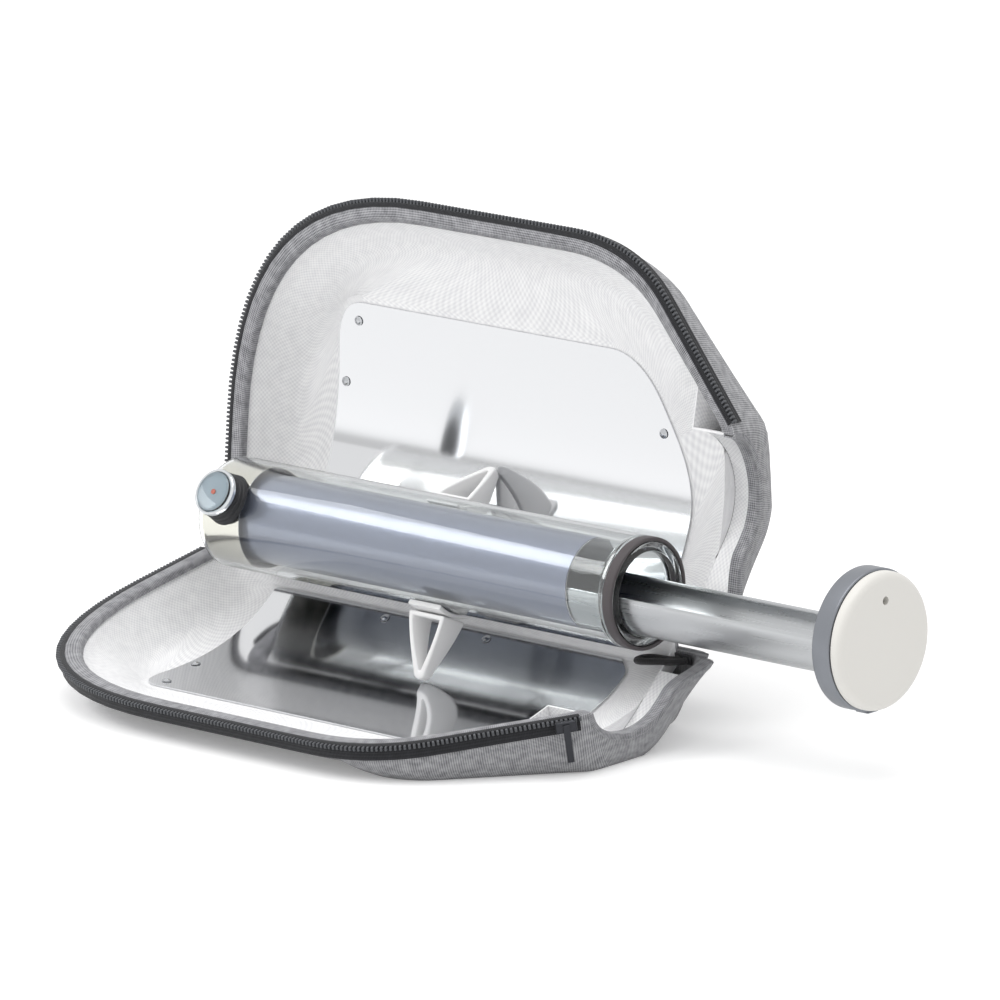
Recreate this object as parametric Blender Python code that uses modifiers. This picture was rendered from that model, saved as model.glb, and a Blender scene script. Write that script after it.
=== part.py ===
"""Folding solar oven: a vacuum tube between two hinged case halves lined with trough mirrors.

Metres, +Z up. +X runs along the tube to its cap, -Y is the front. The origin lies on the
underside of the base half, where the oven stands. Both halves are drawn in one case frame:
x along the tube, s away from the hinge in the rim's plane, d into the case from that plane.
"""
import math

import bmesh
import bpy
from mathutils import Matrix, Vector

# Fits
FIT = 0.0003                 # gap between pieces that touch
CORD_GAP = 0.0003            # gap at a cord's ends

# How the case stands open
OPEN_ANGLE = math.radians(105.1)
RIM_TILT = math.radians(10.0)        # the base rim falls towards the front
STAND_X = 0.150                      # tube mouth, from the origin
STAND_Y = 0.045                      # tube axis, from the origin

# Vacuum tube
GLASS_RADIUS = 0.029
GLASS_WALL = 0.0019
GLASS_END = -0.280                   # where the domed end starts, from the mouth
DOME_DEPTH = 0.012
NECK_SEAL_LENGTH = 0.006
LIP_LENGTH = 0.003
ABSORBER_RADIUS = 0.0234
ABSORBER_WALL = 0.0016
ABSORBER_END = -0.266
ABSORBER_DOME = 0.010
GETTER_START = -0.2557
GETTER_THICKNESS = 0.0005
CLIP_X = -0.262
CLIP_LENGTH = 0.009
CLIP_SHEET = 0.0007

# Trough mirrors, a parabola with the tube at its focus
FOCAL_LENGTH = 0.046
HINGE_TO_TUBE = 0.0335
MIRROR_SHEET = 0.0008
MIRROR_SLACK = 0.0003                # room for the facets of sheet and lining
MIRROR_INNER = 0.018                 # distance from the bisecting plane at the hinge side
MIRROR_OUTER = 0.117
MIRROR_LEFT = -0.275
MIRROR_RIGHT = -0.022
RIVET_RADIUS = 0.0026
RIVET_HEIGHT = 0.0011
RIVETS = [(MIRROR_LEFT + 0.0255, MIRROR_OUTER - 0.0065),
          (MIRROR_LEFT + 0.0135, MIRROR_OUTER - 0.030),
          (MIRROR_RIGHT - 0.021, MIRROR_OUTER - 0.027),
          (MIRROR_LEFT + 0.081, MIRROR_INNER + 0.0055),
          (MIRROR_LEFT + 0.151, MIRROR_INNER + 0.0055)]

# Case outline at the rim
CASE_LEFT = -0.315
CASE_BACK = 0.0025
CASE_FRONT = 0.1895
CASE_CORNER = 0.125                  # how far the far left corner's curve reaches
CHAMFER_START = -0.046
CHAMFER_END_X = 0.028
CHAMFER_END_S = 0.105
CASE_BULGE_X = 0.030                 # widest point of the right wall
BELLY_ROOM = 0.003386                # between the mirror's back and the belly, at their nearest
BELLY_BACK = 0.014
BELLY_FRONT = 0.137
SHELL_WALL = 0.0022
UPRIGHT_EDGE = 0.0025
SOFT_EDGE = 1.5                      # how square the shell's wall turns, at the front
FULL_EDGE = 3.6                      # and at the back and right
LINING_WALL = 0.0012
RIM_LEVEL = 0.0004                   # the rims stop short of each other when closed
BAND_WIDTH = 0.012
BAND_HEIGHT = 0.0015
BACK_BAND_WIDTH = 0.0051
NOTCH_RADIUS = 0.0377                # the cap passes here
NOTCH_START = -0.0008
CUTTER_REACH = 0.05                  # past the shell on the hinge side
ZIP_BACK = 0.016                     # the zip starts this far in front of the hinge
ZIP_END_X = -0.020                   # and ends at the chamfer, in front of this depth
ZIP_END_S = 0.108
TRIM_WALL = 0.0014
TRIM_SETBACK = 0.0018                # from the shell's inside, which leans in under the rim
NECK_STRIP_SHARE = 0.60              # how far the recess runs on towards the hinge
NECK_START = -0.008                  # where the shell starts to draw up to the recess
NECK_FLOOR = 0.005                   # from the lip down to the shell's outside
NECK_WALL = 0.0012
LIP_START_X = 0.0200                 # in front of the cap's face when the tray is home
LIP_ROUTE = [(0.1010, 0.0), (0.0990, 0.0080), (0.0935, 0.0140), (0.0850, 0.0190),
             (0.0750, 0.0223), (0.0640, 0.0230), (0.0540, 0.0210), (0.0460, 0.0168),
             (0.0390, 0.0126), (0.0300, 0.0110), (0.0200, 0.0106), (0.0100, 0.0094)]

# Zip
TAPE_HEIGHT = 0.0085
TAPE_SHEET = 0.0008
TAPE_GAP = 0.0007                    # clear of the shell on its curves
TOOTH_PITCH = 0.008
TOOTH_WIDTH = 0.0016
TOOTH_HEIGHT = 0.0022
SLIDER_LENGTH = 0.011
SLIDER_HEIGHT = 0.006
SLIDER_THICKNESS = 0.0034
PULL_LENGTH = 0.020
PULL_WIDTH = 0.006
PULL_SHEET = 0.0012
SLIDER_SETBACK = 0.008               # from the zip's end to the slider's middle

# Hinge
BEAD_RADIUS = 0.0016
HINGE_LEFT = -0.296
HINGE_RIGHT = -0.0035
LEAF_SHEET = 0.0014
LEAF_TOP = 0.00205
LEAF_HEIGHT = 0.018

# Feet
FOOT_ANGLE = math.radians(110.5)
FOOT_WIDTH = 0.024
FOOT_DEPTH = 0.017
FOOT_TIP_WIDTH = 0.008
FOOT_TIP_DEPTH = 0.005
FOOT_WALL = 0.0030
FOOT_REACH = 0.0659                  # tip, from the tube's axis
FOOT_PAD_WALL = 0.0026
FOOT_PAD_WIDTH = 0.0215
FOOT_PAD_SPAN = math.radians(44)
LOWER_FOOT_X = -0.1325
UPPER_FOOT_X = -0.1555

# Cooking tray and cap, with the tray drawn out
DRAWN_OUT = 0.136
TRAY_RADIUS = 0.0212
TRAY_SHEET = 0.0009
TRAY_LENGTH = 0.256
TRAY_LIP = 0.0022
STOPPER_RADIUS = 0.0214
STOPPER_LENGTH = 0.0060
SCREW_RADIUS = 0.0022
SCREW_HEAD = 0.0012
SCREW_SPREAD = 0.009
GASKET_RADIUS = 0.0285
GASKET_THICKNESS = 0.0008
CAP_RADIUS = 0.036
CAP_LENGTH = 0.0108
CAP_WALL = 0.0024
CAP_BACK = 0.0026
DISC_RADIUS = 0.0350
DISC_THICKNESS = 0.0066
DISC_ROUNDING = 0.0042
DISC_SPIGOT = 0.0030                 # how far the disc's spigot enters the ring
VENT_RADIUS = 0.0022
VENT_OFFSET = 0.021
TAB_LENGTH = 0.008
TAB_WIDTH = 0.008
TAB_HEIGHT = 0.0009

# Sun sight on the tube's end
SIGHT_X = -0.266
SIGHT_ANGLE = math.radians(13.5)     # from the bisecting plane, towards the base
SIGHT_RADIUS = 0.0125
SIGHT_BASE_HEIGHT = 0.0072
SIGHT_BEZEL_HEIGHT = 0.0028
SIGHT_LENS_RISE = 0.0022
SIGHT_DOT_RADIUS = 0.0016

# Elastic cord loop at the hinge side's right corner
CORD_RADIUS = 0.0018
EYELET_WIDTH = 0.0105
EYELET_HEIGHT = 0.0054
EYELET_THICKNESS = 0.0022

STEPS = 36
HALF_OPEN = OPEN_ANGLE / 2
FOLDED_S = HINGE_TO_TUBE + 0.0305    # the tube's axis from the hinge, folded
REST_SPOT = Vector((HINGE_TO_TUBE * math.cos(HALF_OPEN), -HINGE_TO_TUBE * math.sin(HALF_OPEN)))
PARABOLA_AT_HINGE = FOCAL_LENGTH - HINGE_TO_TUBE
BASE_TURN = math.pi + RIM_TILT
LID_TURN = BASE_TURN - OPEN_ANGLE
TUBE_TURN = BASE_TURN - HALF_OPEN
FACING = HALF_OPEN - RIM_TILT        # between the bisecting plane and the ground
MIRROR_LOW_Q = min(MIRROR_OUTER, 2 * FOCAL_LENGTH / math.tan(FACING))
MIRROR_LOW_P = MIRROR_LOW_Q ** 2 / (4 * FOCAL_LENGTH) - PARABOLA_AT_HINGE
MIRROR_REACH = MIRROR_LOW_Q * math.cos(FACING) - MIRROR_LOW_P * math.sin(FACING) + MIRROR_SHEET
BELLY_DEPTH = (MIRROR_REACH / math.cos(RIM_TILT) - BELLY_BACK * math.tan(RIM_TILT) + SHELL_WALL
               + BELLY_ROOM)         # at BELLY_BACK
TUBE_HEIGHT = (HINGE_TO_TUBE * math.sin(HALF_OPEN - RIM_TILT) + BELLY_BACK * math.sin(RIM_TILT)
               + BELLY_DEPTH * math.cos(RIM_TILT))
TUBE_CENTRE = Vector((STAND_X, STAND_Y, TUBE_HEIGHT))
HINGE_POINT = TUBE_CENTRE - HINGE_TO_TUBE * Vector(
    (0, math.cos(TUBE_TURN), math.sin(TUBE_TURN)))


def colour(hex_text):
    """Return a linear colour from six hex digits of sRGB."""
    values = [int(hex_text[i:i + 2], 16) / 255 for i in (0, 2, 4)]
    return [v / 12.92 if v <= 0.04045 else ((v + 0.055) / 1.055) ** 2.4 for v in values] + [1]


def material(name, hex_text, roughness, metallic=0.0, alpha=1.0):
    """Make the finish of one piece."""
    made = bpy.data.materials.new(name)
    made.use_nodes = True
    shader = made.node_tree.nodes["Principled BSDF"]
    shader.inputs["Base Color"].default_value = colour(hex_text)
    shader.inputs["Roughness"].default_value = roughness
    shader.inputs["Metallic"].default_value = metallic
    shader.inputs["Alpha"].default_value = alpha
    return made


def start():
    """Clear the scene and make the two collections."""
    for item in list(bpy.data.objects):
        bpy.data.objects.remove(item)
    for name in ("solar_oven", "cutters"):
        bpy.context.scene.collection.children.link(bpy.data.collections.new(name))


def frame(name, place, turn):
    """Add an empty that carries the pieces of one body, turned about X."""
    empty = bpy.data.objects.new(name, None)
    empty.location = place
    empty.rotation_euler = (turn, 0, 0)
    bpy.data.collections["solar_oven"].objects.link(empty)
    return empty


def add(name, mesh, parent, finish, smooth=True):
    """Link a mesh as a named piece under its frame."""
    piece = bpy.data.objects.new(name, mesh)
    piece.parent = parent
    mesh.materials.append(finish)
    if smooth:
        mesh.shade_smooth()
        mesh.set_sharp_from_angle(angle=math.radians(35))
    bpy.data.collections["solar_oven"].objects.link(piece)
    return piece


def mesh_of(name, points, faces):
    """Make a mesh from points and faces."""
    mesh = bpy.data.meshes.new(name)
    mesh.from_pydata([tuple(p) for p in points], [], faces)
    mesh.update()
    return mesh


def ring_faces(rings, count, closed=True):
    """Return the side faces between rings of the same number of points."""
    faces = []
    last = count if closed else count - 1
    for r in range(rings - 1):
        for i in range(last):
            j = (i + 1) % count
            faces.append((r * count + i, r * count + j, (r + 1) * count + j, (r + 1) * count + i))
    return faces


def outward(mesh):
    """Turn every face of a closed mesh outwards."""
    work = bmesh.new()
    work.from_mesh(mesh)
    bmesh.ops.recalc_face_normals(work, faces=work.faces)
    if work.calc_volume(signed=True) < 0:
        bmesh.ops.reverse_faces(work, faces=work.faces)
    work.to_mesh(mesh)
    work.free()
    return mesh


def loft(name, rings, joined=False):
    """Make a closed solid through closed rings, capped at both ends or joined end to start."""
    count = len(rings[0])
    faces = ring_faces(len(rings), count)
    if joined:
        base = (len(rings) - 1) * count
        faces += [(base + i, base + (i + 1) % count, (i + 1) % count, i) for i in range(count)]
    else:
        faces.append(tuple(reversed(range(count))))
        faces.append(tuple((len(rings) - 1) * count + i for i in range(count)))
    return outward(mesh_of(name, [p for ring in rings for p in ring], faces))


def turned(name, profile, parent, finish, steps=STEPS, x=0.0, angle=0.0):
    """Turn a profile of (radius, x) about the parent's X axis."""
    points = [(r, 0, z) for r, z in profile]
    edges = [(i, i + 1) for i in range(len(points) - 1)]
    if min(profile[0][0], profile[-1][0]) > 0:
        edges.append((len(points) - 1, 0))
    mesh = bpy.data.meshes.new(name)
    mesh.from_pydata(points, edges, [])
    piece = add(name, mesh, parent, finish, smooth=False)
    piece.location = (x, 0, 0)
    piece.rotation_euler = (angle, math.radians(90), 0)
    screw = piece.modifiers.new("Turn", "SCREW")
    screw.axis = "Z"
    screw.angle = math.tau
    screw.steps = steps
    screw.render_steps = steps
    screw.use_merge_vertices = True
    screw.merge_threshold = 0.00001
    return piece


def thicken(piece, wall, offset, even=True):
    """Give an open surface its wall; uneven where tight folds would spike."""
    solid = piece.modifiers.new("Wall", "SOLIDIFY")
    solid.thickness = wall
    solid.offset = offset
    solid.use_even_offset = even
    return piece


def cut(piece, cutter):
    """Cut a piece with a cutter."""
    step = piece.modifiers.new("Cut", "BOOLEAN")
    step.operation = "DIFFERENCE"
    step.object = cutter
    step.solver = "EXACT"
    return piece


def round_edges(piece, width, segments=2):
    """Round the sharp edges of a piece."""
    bevel = piece.modifiers.new("Edges", "BEVEL")
    bevel.width = width
    bevel.segments = segments
    bevel.limit_method = "ANGLE"
    bevel.angle_limit = math.radians(40)
    return piece


def box(name, size, place, parent, finish, turn=None):
    """Add a box from the cube primitive."""
    work = bmesh.new()
    bmesh.ops.create_cube(work, size=1.0)
    bmesh.ops.scale(work, vec=Vector(size), verts=work.verts)
    if turn is not None:
        bmesh.ops.transform(work, matrix=turn, verts=work.verts)
    bmesh.ops.translate(work, vec=Vector(place), verts=work.verts)
    mesh = bpy.data.meshes.new(name)
    work.to_mesh(mesh)
    work.free()
    return add(name, mesh, parent, finish)


# Case frame: outlines and depths

def curve_corner(before, corner, after, reach_in, reach_out, count=7):
    """Return points of a soft corner between two straight edges."""
    start_point = corner + (before - corner).normalized() * reach_in
    end_point = corner + (after - corner).normalized() * reach_out
    points = []
    for i in range(count):
        t = i / (count - 1)
        points.append(start_point * (1 - t) ** 2 + corner * 2 * t * (1 - t) + end_point * t ** 2)
    return points


def outline(corners, splits):
    """Return a closed outline with soft corners and split edges, always with the same count."""
    spots = [Vector(c[:2]) for c in corners]
    total = len(spots)
    loop = []
    for i in range(total):
        turn_points = curve_corner(spots[i - 1], spots[i], spots[(i + 1) % total],
                                   corners[i][2], corners[i][3])
        loop += turn_points
        after = corners[(i + 1) % total]
        far = spots[(i + 1) % total]
        next_start = far + (spots[i] - far).normalized() * after[2]
        for k in range(1, splits[i]):
            loop.append(turn_points[-1].lerp(next_start, k / splits[i]))
    return loop


EDGE_SPLITS = (7, 3, 2, 7, 6, 3)     # left, front, chamfer, right, back by the cap, back


def rim_outline(inset=0.0, back=CASE_BACK):
    """Return the rim's outline in (x, s), drawn in by an inset."""
    ease = max(0.0, CASE_CORNER - inset * 0.9)
    return outline([
        (CASE_LEFT + inset, back, 0.010, 0.010),
        (CASE_LEFT + inset, CASE_FRONT - inset, ease, ease),
        (CHAMFER_START - inset * 0.45, CASE_FRONT - inset, 0.040, 0.034),
        (CHAMFER_END_X - inset * 0.85, CHAMFER_END_S - inset * 0.15, 0.006, 0.006),
        (CASE_BULGE_X - 0.002 - inset, back, 0.008, 0.008),
        (-0.024, back, 0.004, 0.004)], EDGE_SPLITS)


def right_wall(s):
    """Return the x of the rim's right wall at a distance from the hinge."""
    t = (s - CASE_BACK) / (CHAMFER_END_S - CASE_BACK)
    swell = CASE_BULGE_X - (CASE_BULGE_X - 0.002 + CHAMFER_END_X) / 2
    return (CASE_BULGE_X - 0.002) * (1 - t) + CHAMFER_END_X * t + swell * 4 * t * (1 - t)


def belly_depth(s):
    """Return the depth of the flat belly, which lies level when the oven stands open."""
    return BELLY_DEPTH - (s - BELLY_BACK) * math.tan(RIM_TILT)


def mirror_point(x, q, behind=0.0):
    """Return (x, s, d) on the parabola, at distance q from the bisecting plane."""
    p = q * q / (4 * FOCAL_LENGTH)
    slope = q / (2 * FOCAL_LENGTH)
    norm = math.hypot(1, slope)
    p -= behind / norm
    q += behind * slope / norm
    p -= PARABOLA_AT_HINGE
    s = p * math.cos(HALF_OPEN) + q * math.sin(HALF_OPEN)
    d = -p * math.sin(HALF_OPEN) + q * math.cos(HALF_OPEN)
    return (x, s, d)


def mirror_depth(s):
    """Return the parabola's depth at a distance from the hinge."""
    low, high = MIRROR_INNER, MIRROR_OUTER
    for _ in range(24):
        middle = (low + high) / 2
        if mirror_point(0, middle)[1] < s:
            low = middle
        else:
            high = middle
    return mirror_point(0, low)[2]


def mirror_outline(inset=0.0):
    """Return the mirror's outline in (x, q), drawn in by an inset."""
    low = MIRROR_INNER + inset
    return outline([
        (MIRROR_LEFT + inset, low, 0.003, 0.003),
        (MIRROR_LEFT + 0.012 + inset, MIRROR_OUTER - inset, 0.018, 0.018),
        (MIRROR_RIGHT - 0.033 - inset * 0.5, MIRROR_OUTER - inset, 0.020, 0.020),
        (MIRROR_RIGHT - inset, 0.072, 0.022, 0.016),
        (MIRROR_RIGHT - 0.005 - inset, low + 0.008, 0.004, 0.004),
        (MIRROR_RIGHT - 0.014 - inset, low, 0.002, 0.002)], EDGE_SPLITS)


def ramp(value, low, high):
    """Return 0 up to low, 1 from high, and a straight rise between."""
    return min(1.0, max(0.0, (value - low) / (high - low)))


def ease(value, low, high):
    """Return 0 up to low, 1 from high, and a soft rise between."""
    t = ramp(value, low, high)
    return t * t * (3 - 2 * t)


def lip_depth(s):
    """Return the lip's depth at a distance from the hinge, level in front of its lowest part."""
    for (near_s, near_d), (far_s, far_d) in zip(LIP_ROUTE[3:], LIP_ROUTE[4:]):
        if s >= far_s:
            return far_d + (near_d - far_d) * ramp(s, far_s, near_s)
    return LIP_ROUTE[-1][1]


def neck_depth(x, s, depth, top):
    """Return a shell point's depth, drawn up round the cap's recess at the right end."""
    full = belly_depth(s)
    limit = full
    if s < FOLDED_S:
        radius = NOTCH_RADIUS + LINING_WALL + SHELL_WALL + 2 * FIT
        drift = Vector((FOLDED_S, 0)) - REST_SPOT
        drift.normalize()
        if s > FOLDED_S - radius * drift.y:
            round_depth = math.sqrt(radius ** 2 - (FOLDED_S - s) ** 2)
        else:
            round_depth = (radius - (FOLDED_S - s) * drift.y) / drift.x
        limit += (min(full, round_depth) - full) * ease(x, NECK_START, LIP_START_X - 0.001)
    limit += min(0.0, lip_depth(s) + NECK_FLOOR - limit) * ease(x, LIP_START_X, CASE_BULGE_X)
    return top + (depth - top) * (limit - top) / (full - top)


def case_shell(name, side, parent, finish):
    """Make one half's outer shell: a soft pan with a flat belly."""
    rim = rim_outline()
    belly = outline([
        (CASE_LEFT + 0.022, BELLY_BACK, 0.012, 0.012),
        (CASE_LEFT + 0.040, BELLY_FRONT, 0.070, 0.070),
        (-0.066, BELLY_FRONT, 0.030, 0.030),
        (CHAMFER_END_X - 0.010, 0.092, 0.010, 0.010),
        (CASE_BULGE_X - 0.011, BELLY_BACK, 0.010, 0.010),
        (-0.024, BELLY_BACK, 0.004, 0.004)], EDGE_SPLITS)
    top = RIM_LEVEL + BAND_HEIGHT + FIT
    rings = [[(p.x, p.y, side * top) for p in rim]]
    top += UPRIGHT_EDGE
    for step in range(7):
        rise = math.sin(step / 6 * math.pi / 2)
        ring = []
        for edge, foot in zip(rim, belly):
            square = SOFT_EDGE + (FULL_EDGE - SOFT_EDGE) * max(
                ramp(foot.x, -0.085, -0.045), 1 - ramp(foot.y, 0.034, 0.050))
            drawn = 1 - (1 - rise ** square) ** (1 / square)
            spot = edge.lerp(foot, drawn)
            depth = top + (belly_depth(foot.y) - top) * rise
            ring.append((spot.x, spot.y, side * neck_depth(spot.x, spot.y, depth, top)))
        rings.append(ring)
    middle = sum(belly, Vector((0, 0))) / len(belly)
    for share in (0.04, 0.09, 0.15, 0.23, 0.34, 0.50, 0.70):
        ring = []
        for foot in belly:
            spot = foot.lerp(middle, share)
            depth = neck_depth(spot.x, spot.y, belly_depth(spot.y), top)
            ring.append((spot.x, spot.y, side * depth))
        rings.append(ring)
    count = len(rim)
    faces = ring_faces(len(rings), count)
    faces.append(tuple((len(rings) - 1) * count + i for i in range(count)))
    if side > 0:
        faces = [tuple(reversed(f)) for f in faces]
    mesh = mesh_of(name, [p for ring in rings for p in ring], faces)
    return thicken(add(name, mesh, parent, finish), SHELL_WALL, -1)


def case_lining(name, side, parent, finish):
    """Make one half's formed lining, from under the rim band to under the mirror's edge."""
    top = RIM_LEVEL + BAND_HEIGHT + FIT
    behind = MIRROR_SHEET + FIT + MIRROR_SLACK
    foot = CASE_BACK + SHELL_WALL + FIT + LINING_WALL
    stages = [(0.0075, 0.0, 0.0), (0.0145, 0.24, 0.45), (0.0255, 0.56, 0.86)]
    rings = []
    for inset, front_share, wall_share in stages:
        ring = []
        for spot in rim_outline(inset, foot):
            share = wall_share + (front_share - wall_share) * ramp(spot.y, 0.095, 0.155)
            goal = mirror_depth(spot.y) + behind
            ring.append((spot.x, spot.y, side * (top + (goal - top) * share)))
        rings.append(ring)
    shelf = []
    for spot in mirror_outline(-0.002):
        x, s, d = mirror_point(spot.x, spot.y, behind)
        shelf.append((x, max(s, foot + 0.0008), side * d))
    rings.append(shelf)
    count = len(shelf)
    for inset in (0.0, 0.007):
        ring = []
        for spot in mirror_outline(inset - 0.0004):
            x, s, d = mirror_point(spot.x, spot.y, behind)
            ring.append((x, s, side * d))
        rings.append(ring)
    faces = ring_faces(len(rings), count)
    if side > 0:
        faces = [tuple(reversed(f)) for f in faces]
    mesh = mesh_of(name, [p for ring in rings for p in ring], faces)
    return thicken(add(name, mesh, parent, finish), LINING_WALL, 1, even=False)


def span(loop, q):
    """Return the least and greatest x of an outline at one q."""
    found = []
    for a, b in zip(loop, loop[1:] + loop[:1]):
        if (a.y - q) * (b.y - q) <= 0 and a.y != b.y:
            found.append(a.x + (b.x - a.x) * (q - a.y) / (b.y - a.y))
    return min(found), max(found)


def case_mirror(name, side, parent, finish):
    """Make one trough mirror from its outline."""
    loop = mirror_outline()
    rows = 22
    points = []
    for j in range(rows + 1):
        t = j / rows
        q = MIRROR_INNER + (MIRROR_OUTER - MIRROR_INNER) * math.sin(t * math.pi / 2) ** 1.15
        q = min(max(q, MIRROR_INNER + 0.0002), MIRROR_OUTER - 0.0002)
        for x in span(loop, q):
            spot = mirror_point(x, q)
            points.append((spot[0], spot[1], side * spot[2]))
    faces = []
    for j in range(rows):
        faces.append((2 * j, 2 * j + 1, 2 * j + 3, 2 * j + 2))
    if side < 0:
        faces = [tuple(reversed(f)) for f in faces]
    mesh = mesh_of(name, points, faces)
    return thicken(add(name, mesh, parent, finish), MIRROR_SHEET, 1)


def mirror_rivet(name, side, x, q, parent, finish):
    """Make one rivet head on a mirror, square to the sheet."""
    seat = Vector(mirror_point(x, q, -FIT - RIVET_HEIGHT / 2))
    deep = Vector(mirror_point(x, q, 0.010))
    seat.z *= side
    deep.z *= side
    turn = (seat - deep).normalized().to_track_quat("Z", "Y").to_matrix().to_4x4()
    work = bmesh.new()
    bmesh.ops.create_cone(work, cap_ends=True, segments=12, radius1=RIVET_RADIUS,
                          radius2=RIVET_RADIUS * 0.55, depth=RIVET_HEIGHT,
                          matrix=Matrix.Translation(seat) @ turn)
    mesh = bpy.data.meshes.new(name)
    work.to_mesh(mesh)
    work.free()
    return add(name, mesh, parent, finish)


def rim_band(name, side, parent, finish):
    """Make the flat binding round one rim."""
    outer = rim_outline()
    inner = rim_outline(BAND_WIDTH, CASE_BACK + BACK_BAND_WIDTH)
    low = side * RIM_LEVEL
    high = side * (RIM_LEVEL + BAND_HEIGHT)
    rings = [[(p.x, p.y, low) for p in outer], [(p.x, p.y, low) for p in inner],
             [(p.x, p.y, high) for p in inner], [(p.x, p.y, high) for p in outer]]
    return add(name, loft(name, rings, joined=True), parent, finish)


def notch_path(radius, steps=14):
    """Return (s, d) round the cap's clearance, from the chamfer side to the hinge side."""
    centre = Vector((FOLDED_S, 0.0))
    drift = (REST_SPOT - centre).normalized()
    lean = math.atan2(-drift.y, -drift.x)
    path = []
    for i in range(steps + 1):
        a = (math.pi / 2 + lean) * i / steps
        path.append(centre + Vector((math.cos(a), math.sin(a))) * radius)
    return path


def notch_edge(direction, radius):
    """Return the edge of the cap's clearance in a direction from the folded tube's axis."""
    centre = Vector((FOLDED_S, 0.0))
    drift = (centre - REST_SPOT).normalized()
    across = Vector((-drift.y, drift.x))
    reach = radius
    if direction.dot(drift) < 0:
        reach = radius / direction.dot(across)
    return centre + direction * reach


def lip_path(offset=0.0):
    """Return (s, d) along the recess's lip, moved out from the recess by an offset."""
    path = smooth_route([Vector(p) for p in LIP_ROUTE], 2)
    moved = []
    for i, point in enumerate(path):
        ahead = (path[min(i + 1, len(path) - 1)] - path[max(i - 1, 0)]).normalized()
        moved.append(point + Vector((ahead.y, -ahead.x)) * offset)
    return moved


def end_cutter(name, side, loop, first_x, last_x, parent):
    """Make a cutter with one cross-section in (s, d) through a half's right end."""
    rings = [[(x, s, side * d) for s, d in loop] for x in (first_x, last_x)]
    cutter = bpy.data.objects.new(name, loft(name, rings))
    cutter.parent = parent
    cutter.hide_render = True
    cutter.display_type = "WIRE"
    bpy.data.collections["cutters"].objects.link(cutter)
    return cutter


def end_cutters(word, side, parent):
    """Make the cutters of the cap's clearance, of the lip and of the lining's right end."""
    radius = NOTCH_RADIUS + TRIM_WALL + FIT
    path = notch_path(radius)
    lean = path[-1] - Vector((FOLDED_S, 0.0))
    deep = [(p.x, p.y) for p in path]
    deep += [(REST_SPOT.x + lean.x, REST_SPOT.y + lean.y),
             (REST_SPOT.x - CUTTER_REACH, REST_SPOT.y + lean.y / 2),
             (REST_SPOT.x - CUTTER_REACH, -CUTTER_REACH), (path[0].x, -CUTTER_REACH)]
    lip = [(p.x, p.y) for p in lip_path(TRIM_WALL + FIT)]
    lip += [(-CUTTER_REACH, lip[-1][1]), (-CUTTER_REACH, -CUTTER_REACH), (lip[0][0], -CUTTER_REACH)]
    whole = [(path[0].x, CUTTER_REACH * 2), (-CUTTER_REACH, CUTTER_REACH * 2),
             (-CUTTER_REACH, -CUTTER_REACH), (path[0].x, -CUTTER_REACH)]
    last_x = CASE_BULGE_X + CUTTER_REACH
    return (end_cutter(word + "_cap_sweep", side, deep, NOTCH_START,
                       LIP_START_X + NECK_WALL + FIT, parent),
            end_cutter(word + "_lip_opening", side, lip, LIP_START_X, last_x, parent),
            end_cutter(word + "_lining_end", side, whole, NOTCH_START, last_x, parent))


def neck_strips(word, side, parent, paint):
    """Make the recess's liner and end wall, and the binding on its lip."""
    inner = notch_path(NOTCH_RADIUS)
    outer = notch_path(NOTCH_RADIUS + LINING_WALL)
    drift = (REST_SPOT - Vector((FOLDED_S, 0.0))) * NECK_STRIP_SHARE
    inner.append(inner[-1] + drift)
    outer.append(outer[-1] + drift)
    spans = [(NOTCH_START + FIT, LIP_START_X - FIT)] * len(inner)
    recess_strip(word + "_neck_liner", side, inner[1:], outer[1:], spans, parent, paint["lining"])
    lip = lip_path()
    under = lip_path(TRIM_WALL)
    spans = [(LIP_START_X, min(right_wall(p.x), CASE_BULGE_X) - SHELL_WALL - TRIM_SETBACK)
             for p in lip]
    recess_strip(word + "_neck_trim", side, lip[1:], under[1:], spans, parent, paint["binding"])
    tops = lip_path(TRIM_WALL + FIT)[3:]
    feet = []
    for top in tops:
        direction = (top - Vector((FOLDED_S, 0.0))).normalized()
        feet.append(notch_edge(direction, NOTCH_RADIUS + LINING_WALL))
    spans = [(LIP_START_X, LIP_START_X + NECK_WALL)] * len(tops)
    recess_strip(word + "_neck_end", side, tops, feet, spans, parent, paint["lining"])


def recess_strip(name, side, near, far, spans, parent, finish):
    """Make a strip between two routes in (s, d), each point with its own reach in x."""
    rings = []
    for a, b, (first_x, last_x) in zip(near, far, spans):
        rings.append([(first_x, a.x, side * a.y), (last_x, a.x, side * a.y),
                      (last_x, b.x, side * b.y), (first_x, b.x, side * b.y)])
    return add(name, loft(name, rings), parent, finish)


def zip_route(offset):
    """Return the stretch of the rim outline that carries the zip, moved out by an offset."""
    loop = rim_outline(-offset)
    return [p for p in loop if p.y > ZIP_BACK and not (p.x > ZIP_END_X and p.y < ZIP_END_S)]


def walk(route, pitch):
    """Return evenly spaced points along a route."""
    lengths = [0.0]
    for a, b in zip(route, route[1:]):
        lengths.append(lengths[-1] + (b - a).length)
    count = int(lengths[-1] / pitch)
    points = []
    k = 0
    for i in range(count + 1):
        goal = lengths[-1] * i / count
        while k < len(route) - 2 and lengths[k + 1] < goal:
            k += 1
        share = (goal - lengths[k]) / (lengths[k + 1] - lengths[k])
        points.append(route[k].lerp(route[k + 1], share))
    return points


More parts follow.
